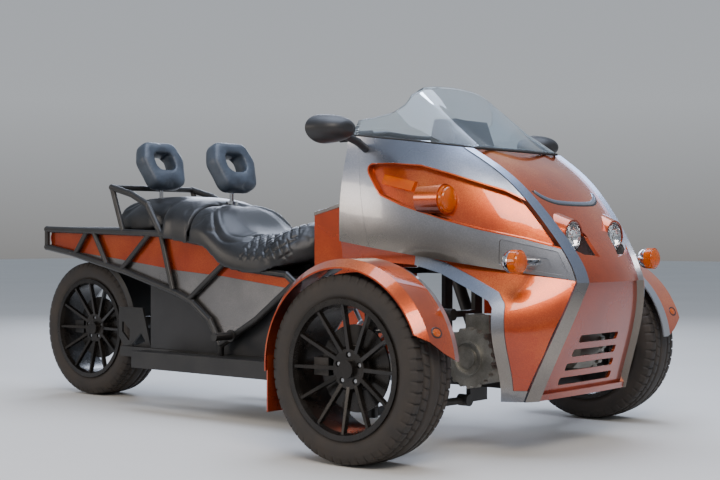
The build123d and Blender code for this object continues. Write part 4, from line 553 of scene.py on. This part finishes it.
def softened(name, points, faces, settings, held, finish, slot):
    # Padded piece by a short cloth simulation: voxel remesh, a little smoothing, pressure with no gravity,
    # each move held under a cap, then one subdivision. Held gives how firmly each point is pinned, 0 to 1
    piece = makePiece(name, points, faces, finish, "chassis", slot)
    voxels = piece.modifiers.new("remesh", "REMESH")
    voxels.mode, voxels.voxel_size = "VOXEL", settings["voxelMm"] / 1000.0
    relax = piece.modifiers.new("smooth", "SMOOTH")
    relax.factor, relax.iterations = softRun["smooth"], settings["relax"]
    bakeModifiers(piece)
    before = readPoints(piece)
    group = piece.vertex_groups.new(name="held")
    firm = np.round(held(before), 1)
    for level in np.unique(firm):
        if level > 0:
            group.add(np.flatnonzero(firm == level).tolist(), float(level), "REPLACE")
    cloth = piece.modifiers.new("cloth", "CLOTH")
    cloth.settings.quality = softRun["quality"]
    cloth.settings.use_pressure = True
    cloth.settings.uniform_pressure_force = settings["pressure"]
    cloth.settings.effector_weights.gravity = 0.0
    cloth.settings.vertex_group_mass = "held"
    cloth.point_cache.frame_start, cloth.point_cache.frame_end = 1, softRun["frames"]
    for frameNumber in range(1, softRun["frames"] + 1):
        bpy.context.scene.frame_set(frameNumber)
    bakeModifiers(piece)
    bpy.context.scene.frame_set(1)
    moved = readPoints(piece) - before
    size = np.linalg.norm(moved, axis=1)[:, None]
    cap = settings["capMm"] / 1000.0
    writePoints(piece, before + moved * np.minimum(1.0, cap / np.maximum(size, 1e-9)))
    fine = piece.modifiers.new("fine", "SUBSURF")
    fine.levels = fine.render_levels = 1
    bakeModifiers(piece)
    piece.data.polygons.foreach_set("use_smooth", [True] * len(piece.data.polygons))
    return piece


def bakeModifiers(piece):  # the piece's mesh becomes what its modifiers make of it
    graph = bpy.context.evaluated_depsgraph_get()
    made = bpy.data.meshes.new_from_object(piece.evaluated_get(graph))
    piece.modifiers.clear()
    old = piece.data
    piece.data = made
    bpy.data.meshes.remove(old)


def readPoints(piece, what="co"):  # each vertex's place, or its normal
    values = np.empty(len(piece.data.vertices) * 3)
    piece.data.vertices.foreach_get(what, values)
    return values.reshape(-1, 3)


def writePoints(piece, points):
    piece.data.vertices.foreach_set("co", np.asarray(points).ravel())
    piece.data.update()


# Seats. Rows are place, half width, skirt foot, underside and crown, in millimetres; the bowl's middle and
# half length are along the vehicle, its half width a share of the seat's; a slope of 1 is level
seatCommon = {
    "voxelMm": 9.0, "relax": 3, "pressure": 3.0, "capMm": 9.0, "fill": 0.8, "across": 4.2, "upward": 2.6,
    "topPoints": 41, "skirtWall": 12.0, "innerLeast": 20.0, "panLeast": 0.5,
    "holdStart": 12.0, "holdFade": 40.0,
}
saddle = {
    **seatCommon, "sections": 60,
    "rows": ((674.0, 128.0, 603.0, 604.0, 741.0), (730.0, 190.0, 584.0, 585.0, 728.0),
             (801.0, 244.0, 566.0, 570.0, 708.0), (860.0, 248.0, 545.0, 573.0, 690.0),
             (979.0, 248.0, 553.0, 583.0, 681.0), (1059.0, 248.0, 572.0, 603.0, 714.0),
             (1160.0, 248.0, 641.0, 673.0, 784.0), (1238.0, 247.0, 653.0, 685.0, 809.0)),
    "quilt": (735.0, 975.0), "quiltFade": 14.0, "quiltFoot": 590.0, "footFade": 20.0, "quiltPitch": 46.0,
    "quiltDepth": 5.0, "quiltStand": 0.5, "quiltSeam": 4.2, "quiltStretch": 1.15,
    "flankStart": 0.86, "flankDrop": 16.0,
    "bowlMiddle": 1075.0, "bowlLength": 132.0, "bowlWidth": 0.8, "bowlEnd": 1215.0, "topSlope": 0.2,
    "rimRise": 5.0, "rimWidth": 0.075, "seamDepth": 3.0, "seamPlace": 1.13, "seamWidth": 0.03,
    "dishDepth": 9.0, "dishPower": 0.6, "dishSlope": 0.3,
}
pillion = {
    **seatCommon, "sections": 48,
    "rows": ((1243.0, 247.0, 653.0, 709.0, 809.0), (1340.0, 247.0, 668.0, 709.0, 829.0),
             (1384.0, 247.0, 676.0, 709.0, 831.0), (1404.0, 203.0, 709.0, 709.5, 833.0),
             (1520.0, 196.0, 709.0, 709.5, 835.0), (1718.0, 184.0, 709.0, 709.5, 825.0)),
}


def seatShape(seat):
    # Each section's top is a superellipse from skirt foot to skirt foot, and its underside a flat pan between
    # the skirts
    rows = seat["rows"]
    where = np.linspace(rows[0][0], rows[-1][0], seat["sections"])
    half, foot, under, crown = smoothColumns(rows, where).T[:, :, None]
    angle = np.linspace(0, np.pi, seat["topPoints"])
    x = half * np.sign(np.cos(angle)) * np.abs(np.cos(angle)) ** (2 / seat["across"])
    z = foot + (crown - foot) * np.abs(np.sin(angle)) ** (2 / seat["upward"])
    inner = np.maximum(half - seat["skirtWall"], seat["innerLeast"])
    under = np.maximum(under, foot + seat["panLeast"])
    x = np.concatenate([x, -inner, -inner, inner, inner], axis=1)
    z = np.concatenate([z, foot, under, under, foot], axis=1)
    points = np.stack([x, np.broadcast_to(where[:, None], x.shape), z], axis=-1)
    return toFrame(points.reshape(-1, 3)), tubeFaces(*x.shape)


def seatHold(seat):
    # Pinned up to a little over the underside, and let go evenly over the next stretch of height
    def held(points):
        place = (points[:, 1] + axleLine[1]) * 1000
        rows = np.asarray(seat["rows"])
        under = np.interp(place, rows[:, 0], rows[:, 3])
        return 1.0 - np.clip((points[:, 2] * 1000 - under - seat["holdStart"]) / seat["holdFade"], 0.0, 1.0)
    return held


def quiltSaddle(piece, seat):
    # Two families of slanted seams, a fixed pitch apart along the leather, sink the surface between the nose
    # and the bowl, and the fields between them stand a little. Round the bowl's dish run a rolled edge and,
    # outside it, a sunk seam. Seams and edges fall off by the exponential of the squared distance
    points, normals = readPoints(piece), readPoints(piece, "normal")
    x, y, z = ((points + axleLine) * 1000).T
    rows = np.asarray(seat["rows"])
    half, crown = (np.interp(y, rows[:, 0], rows[:, column]) for column in (1, 4))
    flank = half * seat["flankStart"]
    reach = np.where(np.abs(x) < flank, np.abs(x), flank + np.maximum(crown - seat["flankDrop"] - z, 0.0))
    pitch = seat["quiltPitch"]
    sunk = np.zeros(len(points))
    for sign in (1, -1):
        gap = ((y * seat["quiltStretch"] + sign * reach) / pitch + 0.5) % 1.0 - 0.5
        sunk += np.exp(-(gap * pitch / seat["quiltSeam"]) ** 2)
    low, high = seat["quilt"]
    inside = np.clip((y - low) / seat["quiltFade"], 0, 1) * np.clip((high - y) / seat["quiltFade"], 0, 1)
    inside = inside * np.clip((z - seat["quiltFoot"]) / seat["footFade"], 0, 1) * seat["quiltDepth"]
    away = np.hypot(x / (half * seat["bowlWidth"]), (y - seat["bowlMiddle"]) / seat["bowlLength"])
    top = (normals[:, 2] > seat["topSlope"]) * (y < seat["bowlEnd"])
    rim = np.exp(-((away - 1.0) / seat["rimWidth"]) ** 2) * top
    seam = np.exp(-((away - seat["seamPlace"]) / seat["seamWidth"]) ** 2) * top
    dish = np.clip(1.0 - away, 0, 1) ** seat["dishPower"] * (normals[:, 2] > seat["dishSlope"])
    move = (seat["quiltStand"] * inside - inside * np.minimum(sunk, 1.0)
            + seat["rimRise"] * rim - seat["seamDepth"] * seam - seat["dishDepth"] * dish)
    writePoints(piece, points + normals * (move / 1000.0)[:, None])


for name, seat in (("quilted_saddle", saddle), ("pillion_cushion", pillion)):
    piece = softened(name, *seatShape(seat), seat, seatHold(seat), finishes["blackLeather"], "black_leather")
    if "quilt" in seat:
        quiltSaddle(piece, seat)
    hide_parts("seats")
print("seats made")

pads = {"voxelMm": 6.0, "relax": 10, "pressure": 4.0, "capMm": 7.0, "fill": 0.8, "shrinkMm": 3.0}


def padShape():
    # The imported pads' own mesh, each point drawn in along its normal so that the cushion has room to swell
    shape = bmesh.new()
    shape.from_mesh(nodes["backrest_pads"].data)
    bmesh.ops.remove_doubles(shape, verts=shape.verts, dist=1e-5)
    shape.normal_update()
    shape.verts.ensure_lookup_table()
    points = np.array([vertex.co for vertex in shape.verts])
    normals = np.array([vertex.normal for vertex in shape.verts])
    faces = [[vertex.index for vertex in face.verts] for face in shape.faces]
    shape.free()
    return points - normals * pads["shrinkMm"] / 1000.0, faces


def freeEverywhere(points):  # the pads are pinned nowhere
    return np.zeros(len(points))


padPiece = softened("backrest_cushions", *padShape(), pads, freeEverywhere,
                    finishes["greyLeather"], "grey_pad")
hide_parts("backrest_pads")
print("pads made")


# Windshield: plan sections at four heights as x, y pairs from the middle outwards; top edge as x, z; foot as
# y, z; the heights that the search for both edges starts from, and its rounds
screen = {
    "sections": ((940.0, 0.0, -178.0, 150.0, -152.0, 268.0, -120.0, 398.0, 300.0),
                 (1040.0, 0.0, -50.0, 150.0, -22.0, 250.0, 30.0, 386.0, 320.0),
                 (1130.0, 0.0, 70.0, 168.0, 94.0, 232.0, 140.0, 334.0, 340.0),
                 (1226.0, 0.0, 198.0, 172.0, 218.0, 208.0, 252.0, 262.0, 360.0)),
    "top": ((0.0, 1199.0), (104.0, 1196.0), (168.0, 1187.0), (197.0, 1176.0), (225.0, 1158.0),
            (253.0, 1128.0), (290.0, 1097.0), (326.0, 1080.0), (362.0, 1069.0), (394.0, 1052.0),
            (430.0, 1010.0)),
    "foot": ((-700.0, 900.0), (-112.0, 965.0), (95.0, 993.0), (254.0, 1012.0), (330.0, 1020.0)),
    "rearY": 291.0, "footGap": 2.0, "topGap": 3.0, "wall": 4.5, "across": 60, "upward": 28, "gasket": 4.5,
    "firstGuess": (960.0, 1190.0), "rounds": 30, "trials": 400,
}


def screenPoint(reach, height):
    # A rounded line through the four plan points of that height; reach 0 is the middle, 1 the outer point
    table = np.asarray(screen["sections"])
    pairs = np.stack([np.interp(height, table[:, 0], table[:, k]) for k in range(1, 9)], axis=-1)
    pairs = pairs.reshape(*np.shape(height), 4, 2)
    first = pairs[..., 1:2, :] * [-1.0, 1.0]
    last = 2 * pairs[..., 3:4, :] - pairs[..., 2:3, :]
    line = np.concatenate([first, pairs, last], axis=-2)
    low = np.clip(np.floor(reach * 3).astype(int), 0, 2)
    t = (reach * 3 - low)[..., None]
    a, b, c, d = (np.take_along_axis(line, (low + k)[..., None, None], axis=-2)[..., 0, :] for k in range(4))
    return 0.5 * (2 * b + (c - a) * t + (2 * a - 5 * b + 4 * c - d) * t**2 + (3 * b - a - 3 * c + d) * t**3)


def screenShape():
    # Rows run from the foot on the cowl to the top edge, both found by repeated substitution; columns reach
    # from the middle to where the sheet meets its rear edge
    share = np.linspace(0, 1, screen["across"])
    trial = np.linspace(0, 1, screen["trials"])

    def sheetPoint(height):
        whole = screenPoint(*np.broadcast_arrays(trial[None, :], height[:, None]))
        inside = whole[..., 1] < screen["rearY"]
        limit = trial[np.maximum(inside.sum(axis=1) - 1, 1)]
        return screenPoint(share * limit, height)

    foot, top = (np.full(len(share), height) for height in screen["firstGuess"])
    for _ in range(screen["rounds"]):
        foot = np.interp(sheetPoint(foot)[:, 1], *np.transpose(screen["foot"])) + screen["footGap"]
        edge = np.interp(sheetPoint(top)[:, 0], *np.transpose(screen["top"])) - screen["topGap"]
        top = 0.5 * top + 0.5 * edge
    top = np.maximum(top, foot + 1.0)
    rows = []
    for step in np.linspace(0, 1, screen["upward"]):
        height = foot + (top - foot) * step
        rows.append(np.column_stack([sheetPoint(height), height]))
    half = np.array(rows)
    left = half[:, ::-1] * [-1.0, 1.0, 1.0]
    return np.concatenate([left[:, :-1], half], axis=1)


screenGrid = screenShape()
screenPiece = makePiece("curved_windshield", toFrame(screenGrid), gridFaces(*screenGrid.shape[:2]),
                        finishes["clearScreen"], "chassis", "windshield_glass")
wall = screenPiece.modifiers.new("wall", "SOLIDIFY")
wall.thickness, wall.offset = screen["wall"] / 1000.0, 0.0
bakeModifiers(screenPiece)
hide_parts("windshield")
makePiece("windshield_gasket", *sweptTube(toFrame(screenGrid[0]), screen["gasket"] / 1000.0),
          finishes["gripRubber"], "chassis", "rubber")
print("windshield made")

# Lamps, in model millimetres: each dome's centre on the vehicle's left, its radius and how far it stands out
lamps = {
    "headDomes": (((128.5, -397.5, 681.0), 45.0, 11.0),),
    "amberDomes": (((378.9, -98.0, 801.0), 38.0, 13.0), ((420.0, -392.0, 607.0), 33.0, 13.0)),
    "tailDomes": (((150.0, 2168.5, 675.0), 29.0, 9.0),),
    "rippleDepth": 0.5, "rippleRate": 1.1, "headRippleRate": 0.35,
    "domeRoot": (-1.5, 0.97), "domeTip": 0.001, "domeRings": 26, "domeSides": 48,
    "cupDepth": 40.0, "cupMouth": 44.0, "cupThroat": 12.0, "cupGap": 3.0, "cupRings": 14,
    "cupFacets": 24, "facetDepth": 0.012,
    "bulbRadius": 7.0, "bulbFront": 16.0, "bulbDome": 9.0, "bulbTip": 0.01, "bulbRings": 8, "bulbSides": 24,
}
forward, rearward = (0.0, -1.0, 0.0), (0.0, 1.0, 0.0)


def domeShape(centre, axis, radius, rise, rate=lamps["rippleRate"]):
    # A cap turned about its axis: it stands by the cosine of the ring's angle, with fine rings of ripples
    rootAlong, rootShare = lamps["domeRoot"]
    angle = np.linspace(np.pi / 2, lamps["domeTip"], lamps["domeRings"])
    size = radius * np.sin(angle)
    along = rise * np.cos(angle) + lamps["rippleDepth"] * np.cos(rate * size)
    cap = np.stack([along, size], axis=1)
    profile = np.concatenate([[(rootAlong, radius * rootShare)], cap]) / 1000.0
    points, faces = turned(profile, toFrame(centre), axis, lamps["domeSides"])
    return points, faces.tolist() + [[k * len(profile) for k in range(lamps["domeSides"])]]


def cupShape(centre, axis):
    # A paraboloid cup, shallower by the square of its radius, with radial facets, and a bulb in its throat
    size = np.linspace(lamps["cupMouth"], lamps["cupThroat"], lamps["cupRings"])
    deep = lamps["cupDepth"] * (1 - (size / lamps["cupMouth"]) ** 2) + lamps["cupGap"]
    profile = np.stack([-deep, size], axis=1) / 1000.0
    facets, radius = lamps["cupFacets"], lamps["bulbRadius"]
    cup = turned(profile, toFrame(centre), axis, 3 * facets, facets, lamps["facetDepth"])
    angle = np.linspace(0, np.pi / 2, lamps["bulbRings"])
    along = lamps["bulbDome"] * np.sin(angle) - lamps["bulbFront"]
    top = np.stack([along, radius * np.cos(angle) + lamps["bulbTip"]], axis=1)
    bulb = np.concatenate([[(-lamps["cupDepth"], radius)], top]) / 1000.0
    return joinParts([cup, turned(bulb, toFrame(centre), axis, lamps["bulbSides"])])


def bothSides(rows, make, *more):  # the same shapes on both sides of the vehicle
    return joinParts([make((side * x, y, z), *sizes, *more)
                      for side in (1, -1) for (x, y, z), *sizes in rows])


def pointing(axis, rows):  # the rows with the axis after each centre
    return [(centre, axis, *sizes) for centre, *sizes in rows]


for name, axis, key, finish, slot in (("amber_domes", forward, "amberDomes", "amberLens", "amber_lens"),
                                      ("tail_lamp_domes", rearward, "tailDomes", "redLens", "red_lens")):
    makePiece(name, *bothSides(pointing(axis, lamps[key]), domeShape), finishes[finish], "chassis", slot)
headShapes = bothSides(pointing(forward, lamps["headDomes"]), domeShape, lamps["headRippleRate"])
headPiece = makePiece("headlamp_domes", *headShapes, finishes["clearLens"], "chassis", "lamp_glass")
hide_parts("headlamp_lenses")
cupRow = ((lamps["headDomes"][0][0], forward),)
makePiece("headlamp_reflectors", *bothSides(cupRow, cupShape), finishes["chrome"], "chassis", "chrome")

# Oval amber markers on the fenders' front faces, each in a dark surround, riding on the knuckles with them
markers = {
    "place": (720.0, -305.0, 408.0), "axis": (0.0, -0.93, 0.367), "radius": 13.0, "dome": 6.0, "stretch": 1.4,
    "surround": ((-3.0, 13.2), (-3.0, 18.0), (2.5, 17.0), (4.0, 15.0), (2.0, 12.8)), "sides": 40,
}
for side, ending in ((1, "left"), (-1, "right")):
    place = np.array(markers["place"]) * [side, 1, 1]
    middle = toFrame(place)
    lens = domeShape(place, markers["axis"], markers["radius"], markers["dome"])
    surround = turned(np.array(markers["surround"]) / 1000.0, middle, markers["axis"], markers["sides"])
    rows = ((lens, "marker_lens_", "amberLens", "amber_lens"),
            (surround, "marker_surround_", "blackPlastic", "black_plastic"))
    for (points, faces), name, finish, slot in rows:
        wide = middle + (points - middle) * [markers["stretch"], 1.0, 1.0]
        makePiece(name + ending, wide, faces, finishes[finish], f"knuckle_{ending}_body", slot)
print("lamps made")


def paintedLine(name, node, route, widthMm, heightMm, finish, slot):
    # A low rounded strip on a panel: the route is divided evenly, dropped to the nearest point of the panel
    # and given a section that stands along the panel's normal by one minus the square of the share across
    route = toFrame(route)
    steps = np.concatenate([[0], np.cumsum(np.linalg.norm(np.diff(route, axis=0), axis=1))])
    even = np.linspace(0, steps[-1], max(int(steps[-1] / hoodLine["step"]), hoodLine["leastSteps"]))
    smooth = smoothColumns(np.column_stack([steps, route]), even)
    tree = BVHTree.FromObject(nodes[node], bpy.context.evaluated_depsgraph_get())
    found = [tree.find_nearest(Vector(point)) for point in smooth]
    points, normals = (np.array([hit[k] for hit in found])[:, None] for k in (0, 1))
    side = np.cross(np.gradient(points[:, 0], axis=0), normals[:, 0])
    side = (side / np.linalg.norm(side, axis=1)[:, None])[:, None]
    share = np.linspace(-1, 1, hoodLine["sides"])[:, None]
    rise = (1 - share**2) * heightMm / 1000.0 + hoodLine["lift"]
    top = points + side * share * widthMm / 2000.0 + normals * rise
    foot = points + side * share[::-1] * widthMm / 2000.0 - normals * hoodLine["root"]
    section = np.concatenate([top, foot], axis=1)
    return makePiece(name, section, tubeFaces(*section.shape[:2]), finish, "chassis", slot)


# The bright U across the hood with a painted shadow line below it (a thin black strip where shade falls), in
# model millimetres; step, lift and root in metres
hoodLine = {
    "half": ((196.0, -245.0, 858.0), (187.0, -268.0, 838.0), (165.0, -300.0, 812.0), (120.0, -322.0, 796.0),
             (60.0, -331.0, 791.0)),
    "middle": (0.0, -333.0, 790.0), "shadowLineSpread": 1.03, "shadowLineDrop": 7.0,
    "brightSize": (15.0, 2.0), "shadowLineSize": (7.0, 0.8),
    "step": 0.006, "leastSteps": 4, "sides": 7, "lift": 0.0002, "root": 0.001,
}
hoodRoute = [(-x, y, z) for x, y, z in hoodLine["half"]] + [hoodLine["middle"], *hoodLine["half"][::-1]]
shadowLineSpread, shadowLineDrop = hoodLine["shadowLineSpread"], hoodLine["shadowLineDrop"]
hoodShadowRoute = np.array(hoodRoute) * [shadowLineSpread, 1, 1] - [0, shadowLineDrop, shadowLineDrop]
paintedLine("hood_bright_line", "nose_panel", hoodRoute, *hoodLine["brightSize"],
            finishes["silverPaint"], "silver_paint")
# Painted shadow: a thin black strip just below the bright line stands for the shade under it
paintedLine("hood_painted_shadow_line", "nose_panel", hoodShadowRoute, *hoodLine["shadowLineSize"],
            finishes["blackPlastic"], "black_plastic")
print("hood lines made")


def makeFloor():  # one large flat square of pale matt studio floor
    half = studio["floorSize"] / 2
    mesh = bpy.data.meshes.new("studioFloor")
    corners = [(-half, -half, 0), (half, -half, 0), (half, half, 0), (-half, half, 0)]
    mesh.from_pydata(corners, [], [(0, 1, 2, 3)])
    floor = bpy.data.objects.new("studioFloor", mesh)
    bpy.context.scene.collection.objects.link(floor)
    material, tree, shader, local = newMaterial("paleStudioFloor")
    noiseValues = {"Scale": 1000.0 / studio["floorPatchMm"], "Detail": 4.0}
    noise = addNode(tree, "ShaderNodeTexNoise", noiseValues, local)
    ramp = colourRamp(tree, noise, 0, studio["floorColours"])
    tree.links.new(ramp.outputs[0], shader.inputs["Base Color"])
    shader.inputs["Roughness"].default_value = studio["floorRoughness"]
    mesh.materials.append(material)


makeFloor()
